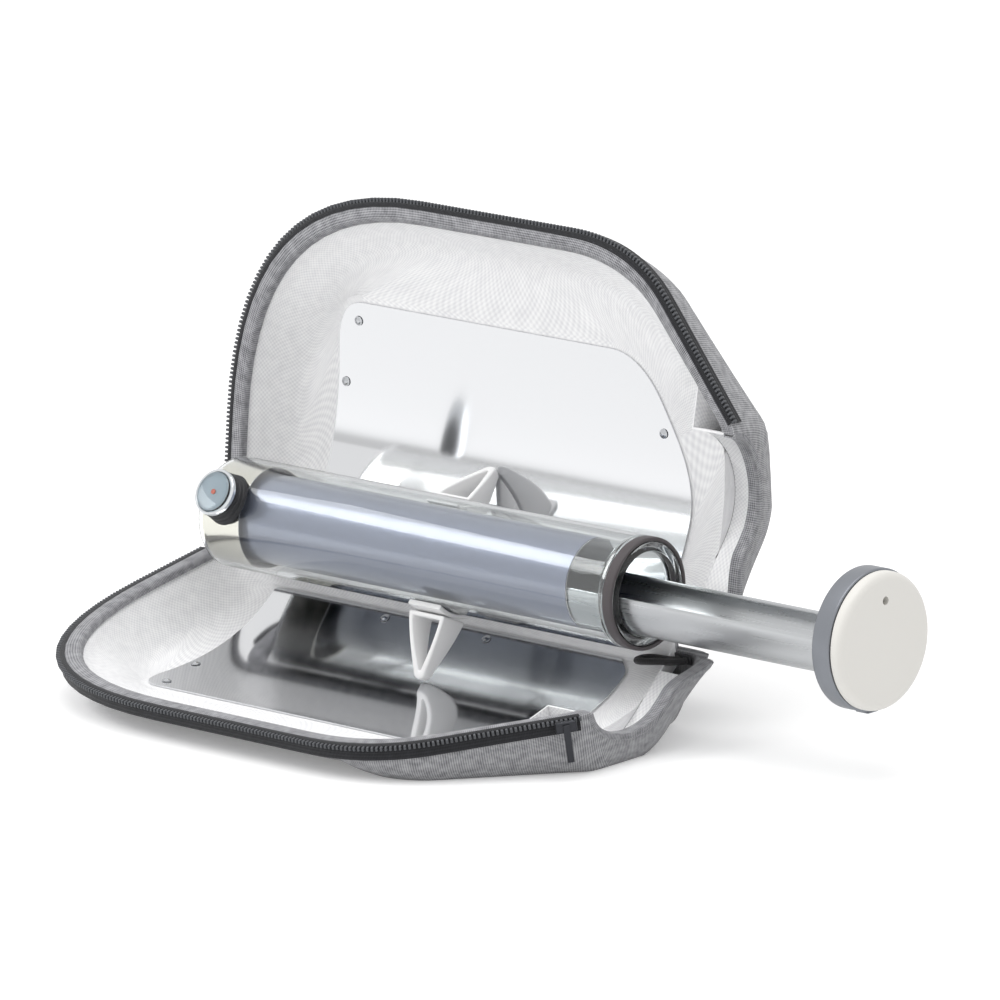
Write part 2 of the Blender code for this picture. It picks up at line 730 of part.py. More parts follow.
def strip(name, side, route_in, route_out, low, high, parent, finish):
    """Make an upright strip between two routes; low and high are depths at each point."""
    rings = []
    for a, b, bottom, top in zip(route_in, route_out, low, high):
        rings.append([(a.x, a.y, side * bottom), (b.x, b.y, side * bottom),
                      (b.x, b.y, side * top), (a.x, a.y, side * top)])
    return add(name, loft(name, rings), parent, finish)


def side_step(route, distance):
    """Return a route moved sideways, to its left when followed."""
    moved = []
    for i, point in enumerate(route):
        ahead = route[min(i + 1, len(route) - 1)] - route[max(i - 1, 0)]
        ahead.normalize()
        moved.append(point + Vector((-ahead.y, ahead.x)) * distance)
    return moved


def case_half(word, side, parent, paint):
    """Make the pieces that both halves have."""
    sweep, lip, lining_end = end_cutters(word, side, parent)
    shell = case_shell(word + "_shell", side, parent, paint["weave"])
    lining = case_lining(word + "_lining", side, parent, paint["lining"])
    band = rim_band(word + "_rim_binding", side, parent, paint["binding"])
    for piece in (shell, band):
        cut(piece, sweep)
        cut(piece, lip)
    cut(lining, lining_end)
    case_mirror(word + "_mirror", side, parent, paint["mirror"])
    for number, (x, q) in enumerate(RIVETS, 1):
        mirror_rivet(f"{word}_rivet_{number}", side, x, q, parent, paint["steel"])
    neck_strips(word, side, parent, paint)
    route = walk(zip_route(0.0), TOOTH_PITCH)
    sign = 1 if side_step(route, 0.001)[len(route) // 2].y > route[len(route) // 2].y else -1
    near = side_step(route, sign * TAPE_GAP)
    far = side_step(route, sign * (TAPE_GAP + TAPE_SHEET))
    flat = [RIM_LEVEL] * len(route)
    strip(word + "_zip_tape", side, near, far, flat, [TAPE_HEIGHT] * len(route), parent,
          paint["tape"])
    fine = walk(zip_route(0.0), TOOTH_PITCH / 2)
    tooth_in = side_step(fine, sign * (TAPE_GAP + TAPE_SHEET + FIT))
    tooth_out = side_step(fine, sign * (TAPE_GAP + TAPE_SHEET + FIT + TOOTH_WIDTH))
    tall = [RIM_LEVEL + TOOTH_HEIGHT * (1.0 if i % 2 else 0.55) for i in range(len(fine))]
    strip(word + "_zip_teeth", side, tooth_in, tooth_out, [RIM_LEVEL] * len(fine), tall, parent,
          paint["teeth"])
    leaf_length = HINGE_RIGHT - HINGE_LEFT
    leaf_height = LEAF_HEIGHT - LEAF_TOP
    leaf_s = CASE_BACK - FIT - LEAF_SHEET / 2
    leaf = box(word + "_hinge_leaf", (leaf_length, LEAF_SHEET, leaf_height),
               ((HINGE_LEFT + HINGE_RIGHT) / 2, leaf_s, side * (LEAF_TOP + leaf_height / 2)),
               parent, paint["binding"])
    round_edges(leaf, 0.0004, 1)


def zip_slider(parent, paint):
    """Make the slider at the zip's end and its pull tab."""
    start_spot = Vector((CHAMFER_END_X, CHAMFER_END_S))
    far_spot = Vector((CHAMFER_START, CASE_FRONT))
    along = (far_spot - start_spot).normalized()
    out = Vector((along.y, -along.x))
    if out.x < 0:
        out = -out
    seat = TAPE_GAP + 2 * FIT + TAPE_SHEET + TOOTH_WIDTH
    spot = start_spot + along * (SLIDER_SETBACK + 0.004) + out * (seat + SLIDER_THICKNESS / 2)
    turn = Matrix.Rotation(math.atan2(along.y, along.x), 4, "Z")
    slider = box("zip_slider", (SLIDER_LENGTH, SLIDER_THICKNESS, SLIDER_HEIGHT),
                 (spot.x, spot.y, RIM_LEVEL + SLIDER_HEIGHT / 2), parent, paint["brass"], turn)
    round_edges(slider, 0.0008, 2)
    hang = spot + out * (SLIDER_THICKNESS / 2 + FIT + PULL_SHEET / 2)
    depth = RIM_LEVEL + 0.0012 + PULL_LENGTH / 2
    pull = box("zip_pull", (PULL_WIDTH, PULL_SHEET, PULL_LENGTH), (hang.x, hang.y, depth), parent,
               paint["brass"], turn)
    round_edges(pull, 0.0003, 1)


def arc(radius_x, radius_r, centre_x, centre_r, first, last, steps):
    """Return (radius, x) points on an ellipse arc, angles in degrees from +x."""
    points = []
    for i in range(steps + 1):
        a = math.radians(first + (last - first) * i / steps)
        points.append((centre_r + radius_r * math.sin(a), centre_x + radius_x * math.cos(a)))
    return points


def vacuum_tube(parent, paint):
    """Make the glass, absorber, getter film, clip and mouth seal."""
    inner = GLASS_RADIUS - GLASS_WALL
    lip_radius = ABSORBER_RADIUS + FIT
    end = -NECK_SEAL_LENGTH - FIT
    dome_out = arc(DOME_DEPTH, GLASS_RADIUS, GLASS_END, 0, 90, 180, 6)
    dome_in = arc(DOME_DEPTH - GLASS_WALL, inner, GLASS_END, 0, 90, 180, 6)
    profile = list(reversed(dome_in)) + [(inner, end - LIP_LENGTH), (lip_radius, end - LIP_LENGTH),
                                         (lip_radius, end), (GLASS_RADIUS, end)] + dome_out
    profile[0] = (0, profile[0][1])
    profile[-1] = (0, profile[-1][1])
    turned("outer_glass", profile, parent, paint["glass"])

    bore = ABSORBER_RADIUS - ABSORBER_WALL
    out_arc = arc(ABSORBER_DOME, ABSORBER_RADIUS, ABSORBER_END, 0, 90, 180, 5)
    in_arc = arc(ABSORBER_DOME - ABSORBER_WALL, bore, ABSORBER_END, 0, 90, 180, 5)
    profile = list(reversed(in_arc)) + [(bore, 0.0), (ABSORBER_RADIUS, 0.0)] + out_arc
    profile[0] = (0, profile[0][1])
    profile[-1] = (0, profile[-1][1])
    turned("absorber_tube", profile, parent, paint["coating"])

    film_out = inner - FIT
    film_in = film_out - GETTER_THICKNESS
    depth = DOME_DEPTH - GLASS_WALL - FIT
    out_arc = arc(depth, film_out, GLASS_END, 0, 90, 150, 4)
    in_arc = arc(depth - GETTER_THICKNESS, film_in, GLASS_END, 0, 150, 90, 4)
    profile = [(film_out, GETTER_START)] + out_arc + in_arc + [(film_in, GETTER_START)]
    turned("getter_film", profile, parent, paint["silver"])

    clip_in = ABSORBER_RADIUS + FIT
    clip_out = film_in - FIT
    profile = [(clip_in + CLIP_SHEET, CLIP_X), (clip_in + CLIP_SHEET, CLIP_X - CLIP_LENGTH * 0.4),
               (clip_out, CLIP_X - CLIP_LENGTH), (clip_out - CLIP_SHEET, CLIP_X - CLIP_LENGTH),
               (clip_in, CLIP_X - CLIP_LENGTH * 0.4), (clip_in, CLIP_X)]
    turned("spring_clip", profile, parent, paint["steel"])

    soft = 0.0008
    profile = [(GLASS_RADIUS - soft, 0.0), (GLASS_RADIUS, -soft), (GLASS_RADIUS, -NECK_SEAL_LENGTH),
               (lip_radius, -NECK_SEAL_LENGTH), (lip_radius, 0.0)]
    turned("mouth_seal", profile, parent, paint["rubber"])


def sun_sight(parent, paint):
    """Make the round sun sight that stands on the tube's domed end."""
    seat = GLASS_RADIUS + FIT
    base_top = seat + SIGHT_BASE_HEIGHT
    rows = 9
    points = 24
    rings = []
    for j in range(rows + 1):
        grooved = 0.0009 if j in (3, 6) else 0.0
        radius = SIGHT_RADIUS - grooved + 0.0012 * (1 - j / rows)
        ring = []
        for i in range(points):
            a = math.tau * i / points
            x = SIGHT_X + radius * math.cos(a)
            t = radius * math.sin(a)
            floor = math.sqrt(seat * seat - t * t)
            ring.append((x, floor + (base_top - floor) * j / rows, t))
        rings.append(ring)
    centre_floor = (SIGHT_X, seat, 0.0)
    inner_ring = []
    for i in range(points):
        a = math.tau * i / points
        t = SIGHT_RADIUS * 0.5 * math.sin(a)
        inner_ring.append((SIGHT_X + SIGHT_RADIUS * 0.5 * math.cos(a), math.sqrt(seat ** 2 - t * t), t))
    rings.insert(0, inner_ring)
    faces = ring_faces(len(rings), points)
    spots = [p for ring in rings for p in ring] + [centre_floor]
    faces += [(len(spots) - 1, (i + 1) % points, i) for i in range(points)]
    faces.append(tuple((len(rings) - 1) * points + i for i in range(points)))
    mesh = outward(mesh_of("sight_base", spots, faces))
    add("sight_base", mesh, parent, paint["rubber"])

    def stacked(name, profile, finish, low):
        piece = turned(name, profile, parent, finish, steps=24)
        piece.rotation_euler = (math.radians(-90), 0, 0)
        piece.location = (SIGHT_X, low, 0)
        return piece

    bezel_low = base_top + FIT
    wall = 0.0016
    top = SIGHT_BEZEL_HEIGHT
    floor_height = 0.0008
    stacked("sight_bezel", [(0, floor_height), (SIGHT_RADIUS - wall, floor_height),
                            (SIGHT_RADIUS - wall, top), (SIGHT_RADIUS - wall / 2, top + 0.0004),
                            (SIGHT_RADIUS, top - 0.0004), (SIGHT_RADIUS, 0), (0, 0)],
            paint["chrome"], bezel_low)
    dial_low = bezel_low + floor_height + FIT
    dial_radius = SIGHT_RADIUS - wall - FIT
    stacked("sight_dial", [(0, 0.0005), (dial_radius, 0.0005), (dial_radius, 0), (0, 0)],
            paint["white"], dial_low)
    dot_low = dial_low + 0.0005 + FIT
    stacked("sight_dot", [(0, 0.0003), (SIGHT_DOT_RADIUS, 0.0003), (SIGHT_DOT_RADIUS, 0), (0, 0)],
            paint["red"], dot_low)
    lens_low = dot_low + 0.0003 + FIT
    crown = [(dial_radius * math.sin(math.radians(a)), 0.0006 + SIGHT_LENS_RISE
              * math.cos(math.radians(a))) for a in range(0, 91, 15)]
    crown[0] = (0, crown[0][1])
    stacked("sight_lens", crown + [(dial_radius, 0), (0, 0)], paint["glass"], lens_low)


def foot(word, x, parent, paint):
    """Make one foot, a hollow pointed fin, and its pad on the glass."""
    pad_in = GLASS_RADIUS + FIT
    pad_out = pad_in + FOOT_PAD_WALL
    rings = []
    for edge in (-0.5, 0.5):
        ring = []
        steps = 8
        for radius, order in ((pad_in, 1), (pad_out, -1)):
            for i in range(steps + 1):
                a = order * FOOT_PAD_SPAN * (i / steps - 0.5)
                ring.append((x + edge * FOOT_PAD_WIDTH, radius * math.cos(a), radius * math.sin(a)))
        rings.append(ring)
    add(word + "_foot_pad", loft(word + "_foot_pad", rings), parent, paint["white"])

    root = pad_out + FIT
    height = FOOT_REACH - root
    half = FOOT_WIDTH / 2
    tip = FOOT_TIP_WIDTH / 2
    outer = []
    hole = []
    steps = 9
    for i in range(steps + 1):
        t = i / steps
        swell = half + (tip - half) * t ** 1.35
        outer.append((swell, root + (height - tip) * t))
    for i in range(1, 4):
        a = math.radians(90 * i / 4)
        outer.append((tip * math.cos(a), root + height - tip + tip * math.sin(a)))
    floor = root + FOOT_WALL * 0.8
    reach = height * 0.80
    for i in range(steps + 1):
        t = i / steps
        swell = (half - FOOT_WALL) + (0.0010 - half + FOOT_WALL) * t ** 1.35
        hole.append((swell, floor + reach * t - FOOT_WALL * 0.4 * t))
    points = []
    for side_points in (outer, hole):
        points.append(side_points + [(0, root + height)] * (side_points is outer)
                      + [(-px, py) for px, py in reversed(side_points)])
    shape = bpy.data.curves.new(word + "_foot_outline", "CURVE")
    shape.dimensions = "2D"
    shape.fill_mode = "BOTH"
    shape.extrude = FOOT_DEPTH / 2
    shape.render_resolution_u = 0
    for loop in points:
        spline = shape.splines.new("POLY")
        spline.points.add(len(loop) - 1)
        spline.use_cyclic_u = True
        for k, (px, py) in enumerate(loop):
            spline.points[k].co = (x + px, py, 0, 1)
    flat = bpy.data.objects.new(word + "_foot_outline", shape)
    bpy.data.collections["solar_oven"].objects.link(flat)
    bpy.context.view_layer.update()
    graph = bpy.context.evaluated_depsgraph_get()
    mesh = bpy.data.meshes.new_from_object(flat.evaluated_get(graph))
    bpy.data.objects.remove(flat)
    mesh.name = word + "_foot"
    work = bmesh.new()
    work.from_mesh(mesh)
    bmesh.ops.remove_doubles(work, verts=work.verts, dist=0.00001)
    for vert in work.verts:
        t = max(0.0, (vert.co.y - root) / height)
        depth = FOOT_DEPTH + (FOOT_TIP_DEPTH - FOOT_DEPTH) * t ** 1.2
        vert.co.z *= depth / FOOT_DEPTH
    work.to_mesh(mesh)
    work.free()
    mesh.materials.clear()
    add(word + "_foot", mesh, parent, paint["white"])


def cooking_tray(parent, paint):
    """Make the tray, stopper, gasket, cap and release tab."""
    cap_back = DRAWN_OUT + FIT + GASKET_THICKNESS + FIT
    stopper_back = cap_back - FIT - STOPPER_LENGTH
    tray_end = stopper_back - FIT
    tray_start = tray_end - TRAY_LENGTH
    inner = TRAY_RADIUS - TRAY_SHEET
    steps = 16
    profile = []
    for i in range(steps + 1):
        a = math.pi + math.pi * i / steps
        profile.append((TRAY_RADIUS * math.cos(a), TRAY_RADIUS * math.sin(a)))
    profile += [(TRAY_RADIUS, TRAY_LIP), (inner, TRAY_LIP)]
    for i in range(steps + 1):
        a = math.tau - math.pi * i / steps
        profile.append((inner * math.cos(a), inner * math.sin(a)))
    profile += [(-inner, TRAY_LIP), (-TRAY_RADIUS, TRAY_LIP)]
    rings = [[(x, y, z) for y, z in profile] for x in (tray_start + TRAY_SHEET, tray_end)]
    trough = add("tray_trough", loft("tray_trough", rings), parent, paint["tray"])
    plate = [(TRAY_RADIUS * math.cos(math.pi + math.pi * i / steps),
              TRAY_RADIUS * math.sin(math.pi + math.pi * i / steps)) for i in range(steps + 1)]
    plate += [(TRAY_RADIUS, TRAY_LIP), (-TRAY_RADIUS, TRAY_LIP)]
    rings = [[(x, y, z) for y, z in plate] for x in (tray_start, tray_start + TRAY_SHEET * 1.2)]
    end = bpy.data.objects.new("tray_end_wall", loft("tray_end_wall", rings))
    end.parent = parent
    end.hide_render = True
    end.display_type = "WIRE"
    bpy.data.collections["cutters"].objects.link(end)
    union = trough.modifiers.new("End", "BOOLEAN")
    union.operation = "UNION"
    union.object = end
    union.solver = "EXACT"

    soft = 0.0010
    turned("tray_stopper", [(0, cap_back - FIT), (STOPPER_RADIUS, cap_back - FIT),
                            (STOPPER_RADIUS, stopper_back + soft),
                            (STOPPER_RADIUS - soft, stopper_back), (0, stopper_back)],
           parent, paint["silicone"])
    for word, y in (("left", -SCREW_SPREAD), ("right", SCREW_SPREAD)):
        place = Matrix.Translation((stopper_back - FIT - SCREW_HEAD / 2, y, SCREW_SPREAD * 0.8))
        work = bmesh.new()
        bmesh.ops.create_cone(work, cap_ends=True, segments=14, radius1=SCREW_RADIUS * 0.75,
                              radius2=SCREW_RADIUS, depth=SCREW_HEAD,
                              matrix=place @ Matrix.Rotation(math.radians(90), 4, "Y"))
        mesh = bpy.data.meshes.new("stopper_screw_" + word)
        work.to_mesh(mesh)
        work.free()
        add("stopper_screw_" + word, mesh, parent, paint["steel"])

    gasket_back = DRAWN_OUT + FIT
    gasket_in = STOPPER_RADIUS + FIT
    turned("cap_gasket", [(GASKET_RADIUS, gasket_back + GASKET_THICKNESS),
                          (GASKET_RADIUS, gasket_back), (gasket_in, gasket_back),
                          (gasket_in, gasket_back + GASKET_THICKNESS)], parent, paint["rubber"])

    ring_front = cap_back + CAP_LENGTH
    bevel = 0.0010
    inside = CAP_RADIUS - CAP_WALL
    turned("cap_ring", [(0, cap_back + CAP_BACK), (inside, cap_back + CAP_BACK),
                        (inside, ring_front), (CAP_RADIUS - bevel, ring_front),
                        (CAP_RADIUS, ring_front - bevel), (CAP_RADIUS, cap_back + bevel),
                        (CAP_RADIUS - bevel, cap_back), (0, cap_back)], parent, paint["cap"])
    seat = ring_front + FIT
    front = seat + DISC_THICKNESS
    spigot = inside - FIT
    curve = [(DISC_RADIUS - DISC_ROUNDING + DISC_ROUNDING * math.sin(math.radians(a)),
              front - DISC_ROUNDING + DISC_ROUNDING * math.cos(math.radians(a)))
             for a in range(0, 91, 15)]
    turned("cap_disc", [(0, front)] + curve + [(DISC_RADIUS, seat), (spigot, seat),
                                               (spigot, seat - DISC_SPIGOT),
                                               (0, seat - DISC_SPIGOT)], parent, paint["disc"])
    vent = bpy.data.objects.new("vent_cutter", bpy.data.meshes.new("vent_cutter"))
    work = bmesh.new()
    bmesh.ops.create_cone(work, cap_ends=True, segments=16, radius1=VENT_RADIUS,
                          radius2=VENT_RADIUS, depth=(DISC_THICKNESS + DISC_SPIGOT) * 4,
                          matrix=Matrix.Translation((front, 0, VENT_OFFSET))
                          @ Matrix.Rotation(math.radians(90), 4, "Y"))
    work.to_mesh(vent.data)
    work.free()
    vent.parent = parent
    vent.hide_render = True
    vent.display_type = "WIRE"
    bpy.data.collections["cutters"].objects.link(vent)
    cut(bpy.data.objects["cap_disc"], vent)
    tab = box("release_tab", (TAB_LENGTH, TAB_WIDTH, TAB_HEIGHT),
              (cap_back + CAP_LENGTH / 2, 0, -(CAP_RADIUS + FIT + TAB_HEIGHT / 2)), parent,
              paint["cap"])
    round_edges(tab, 0.0003, 1)


def smooth_route(points, per_span):
    """Return points of a Catmull-Rom curve through a route."""
    knots = [points[0] * 2 - points[1]] + points + [points[-1] * 2 - points[-2]]
    route = []
    for i in range(1, len(knots) - 2):
        a, b, c, d = knots[i - 1:i + 3]
        for k in range(per_span):
            t = k / per_span
            route.append(0.5 * (2 * b + (c - a) * t + (2 * a - 5 * b + 4 * c - d) * t ** 2
                                + (3 * b - a - 3 * c + d) * t ** 3))
    route.append(points[-1])
    return route


# The loop's own points in the case frame, chosen by hand
CORD_ROUTE = [(0.0085, 0.0085, 0.0125), (0.0079, 0.0105, 0.0126), (0.0040, 0.0130, 0.0126),
              (-0.0020, 0.0150, 0.0126), (-0.0080, 0.0175, 0.0126), (-0.0135, 0.0185, 0.0130),
              (-0.0175, 0.0165, 0.0138), (-0.0175, 0.0125, 0.0142), (-0.0135, 0.0102, 0.0140),
              (-0.0080, 0.0102, 0.0135), (-0.0025, 0.0110, 0.0128), (0.0016, 0.0113, 0.0125),
              (0.0034, 0.0102, 0.0125), (0.0036, 0.0085, 0.0125)]


def cord_loop(parent, paint):
    """Make the elastic loop at the hinge's right end and the plate that its ends are sewn to."""
    knots = [Vector(p) for p in CORD_ROUTE]
    plate_s = CORD_ROUTE[0][1] - CORD_GAP - EYELET_THICKNESS / 2
    plate_x = (CORD_ROUTE[0][0] + CORD_ROUTE[-1][0]) / 2
    plate = box("cord_anchor", (EYELET_WIDTH, EYELET_THICKNESS, EYELET_HEIGHT),
                (plate_x, plate_s, CORD_ROUTE[0][2]), parent, paint["rubber"])
    round_edges(plate, 0.0004, 1)
    curve = bpy.data.curves.new("cord_loop", "CURVE")
    curve.dimensions = "3D"
    curve.bevel_depth = CORD_RADIUS
    curve.bevel_resolution = 2
    curve.use_fill_caps = True
    curve.render_resolution_u = 0
    route = smooth_route(knots, 2)
    spline = curve.splines.new("POLY")
    spline.points.add(len(route) - 1)
    for point, spot in zip(spline.points, route):
        point.co = (*spot, 1)
    curve.materials.append(paint["cord"])
    piece = bpy.data.objects.new("cord_loop", curve)
    piece.parent = parent
    bpy.data.collections["solar_oven"].objects.link(piece)


def build():
    """Make the whole oven."""
    start()
    paint = {
        "weave": material("woven_polyester", "8E9196", 0.95),
        "lining": material("white_lining", "ECECEC", 0.85),
        "binding": material("grey_binding", "7F8286", 0.95),
        "mirror": material("polished_aluminium", "E8EAEC", 0.06, 1.0),
        "steel": material("stainless_steel", "B9BCC0", 0.25, 1.0),
        "tape": material("zip_tape", "1C1D1F", 0.9),
        "teeth": material("zip_teeth", "2A2B2D", 0.5),
        "brass": material("plated_zinc", "9A9B9D", 0.3, 1.0),
        "glass": material("borosilicate_glass", "DDE8EC", 0.03, 0.0, 0.3),
        "coating": material("absorber_coating", "4A5B70", 0.25, 0.3),
        "silver": material("getter_silver", "DAD8D2", 0.15, 1.0),
        "rubber": material("silicone_rubber", "202224", 0.6),
        "white": material("white_nylon", "F2F2F0", 0.4),
        "red": material("red_dot", "B4231E", 0.5),
        "chrome": material("chrome", "D5D8DB", 0.08, 1.0),
        "tray": material("satin_steel", "B4B6B8", 0.35, 1.0),
        "silicone": material("stopper_silicone", "3A3C3F", 0.6),
        "cap": material("anodised_cap", "8C97A3", 0.35, 0.9),
        "disc": material("cap_disc", "EDEBE6", 0.5),
        "cord": material("braided_cord", "17181A", 0.8)}
    base = frame("base_frame", HINGE_POINT, BASE_TURN)
    lid = frame("lid_frame", HINGE_POINT, LID_TURN)
    hinge = frame("hinge_frame", HINGE_POINT, TUBE_TURN)
    tube = frame("tube_frame", TUBE_CENTRE, TUBE_TURN)
    level = frame("tray_frame", TUBE_CENTRE, 0.0)
    sight = frame("sight_frame", TUBE_CENTRE, TUBE_TURN + SIGHT_ANGLE)
    lower = frame("lower_foot_frame", TUBE_CENTRE, TUBE_TURN + FOOT_ANGLE)
    upper = frame("upper_foot_frame", TUBE_CENTRE, TUBE_TURN - FOOT_ANGLE)
    case_half("lower", 1, base, paint)
    case_half("upper", -1, lid, paint)
    zip_slider(base, paint)
    cord_loop(base, paint)
    turned("hinge_bead", [(0, HINGE_RIGHT), (BEAD_RADIUS, HINGE_RIGHT), (BEAD_RADIUS, HINGE_LEFT),
                          (0, HINGE_LEFT)], hinge, paint["binding"], steps=12)
    vacuum_tube(tube, paint)
    sun_sight(sight, paint)
    foot("lower", LOWER_FOOT_X, lower, paint)
    foot("upper", UPPER_FOOT_X, upper, paint)
    cooking_tray(level, paint)


build()
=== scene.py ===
"""Dress the folding solar oven: its woven case, trough mirrors, vacuum tube, tray and cap."""

import logging
import math
from dataclasses import dataclass, field
from enum import Enum

import bpy
from mathutils import Matrix, Vector


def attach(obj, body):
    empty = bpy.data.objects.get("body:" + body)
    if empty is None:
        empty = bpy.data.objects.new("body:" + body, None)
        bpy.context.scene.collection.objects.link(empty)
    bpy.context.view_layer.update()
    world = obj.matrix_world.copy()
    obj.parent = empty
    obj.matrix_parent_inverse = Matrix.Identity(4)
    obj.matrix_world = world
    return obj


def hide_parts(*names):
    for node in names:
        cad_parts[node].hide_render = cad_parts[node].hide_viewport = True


logging.basicConfig(level=logging.INFO, format="%(message)s")
LOG = logging.getLogger("solar_oven")

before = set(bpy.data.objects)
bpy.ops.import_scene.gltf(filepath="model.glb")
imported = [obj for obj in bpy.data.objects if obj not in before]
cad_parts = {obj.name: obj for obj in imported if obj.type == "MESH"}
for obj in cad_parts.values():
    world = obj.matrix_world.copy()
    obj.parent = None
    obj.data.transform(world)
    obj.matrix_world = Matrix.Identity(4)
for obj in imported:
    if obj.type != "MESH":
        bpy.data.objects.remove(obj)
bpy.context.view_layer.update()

# Sizes that the case, tube and tray share, in metres
FIT = 0.0003
HALF_OPEN = math.radians(52.55)
RIM_TILT = math.radians(10.0)
HINGE_POINT = Vector((0.150, 0.069679, 0.051671))
TUBE_CENTRE = Vector((0.150, 0.045, 0.074325))
BASE_TURN = math.pi + RIM_TILT
LID_TURN = BASE_TURN - 2 * HALF_OPEN
TUBE_TURN = BASE_TURN - HALF_OPEN
HINGE_TO_TUBE = 0.0335
FOLDED_S = HINGE_TO_TUBE + 0.0305
REST_SPOT = Vector((HINGE_TO_TUBE * math.cos(HALF_OPEN), -HINGE_TO_TUBE * math.sin(HALF_OPEN)))
FOCAL_LENGTH = 0.046
CORNER_POINTS = 15
EDGE_SPLITS = (14, 8, 8, 12, 6, 14)


def linear(hex_text: str) -> list[float]:
    """Turn six hex digits of sRGB into a linear colour.

    Args:
        hex_text: The digits, such as "8E9196".

    Returns:
        Red, green, blue and an alpha of 1.
    """
    values = [int(hex_text[i:i + 2], 16) / 255 for i in (0, 2, 4)]
    return [v / 12.92 if v <= 0.04045 else ((v + 0.055) / 1.055) ** 2.4 for v in values] + [1.0]


def add_node(tree, kind: str, settings: dict | None = None, links: dict | None = None):
    """Add a shader node with its settings and links.

    Args:
        tree: The node tree.
        kind: The node's type.
        settings: Values of the node's own fields or of its inputs.
        links: The sockets that feed its inputs.

    Returns:
        The new node.
    """
    node = tree.nodes.new(kind)
    for key, value in (settings or {}).items():
        if isinstance(key, str) and hasattr(node, key):
            setattr(node, key, value)
        else:
            node.inputs[key].default_value = value
    for key, source in (links or {}).items():
        tree.links.new(source, node.inputs[key])
    return node


class Surface(Enum):
    """How the surface of a finish was made."""

    PLAIN = "plain"
    MELANGE = "melange twill"
    MESH = "fine plain weave"
    RIBBED = "ribbed tape"
    BRAIDED = "braid"
    BRUSHED = "brushed lengthways"
    TURNED = "brushed round"
    MOULDED = "moulded"


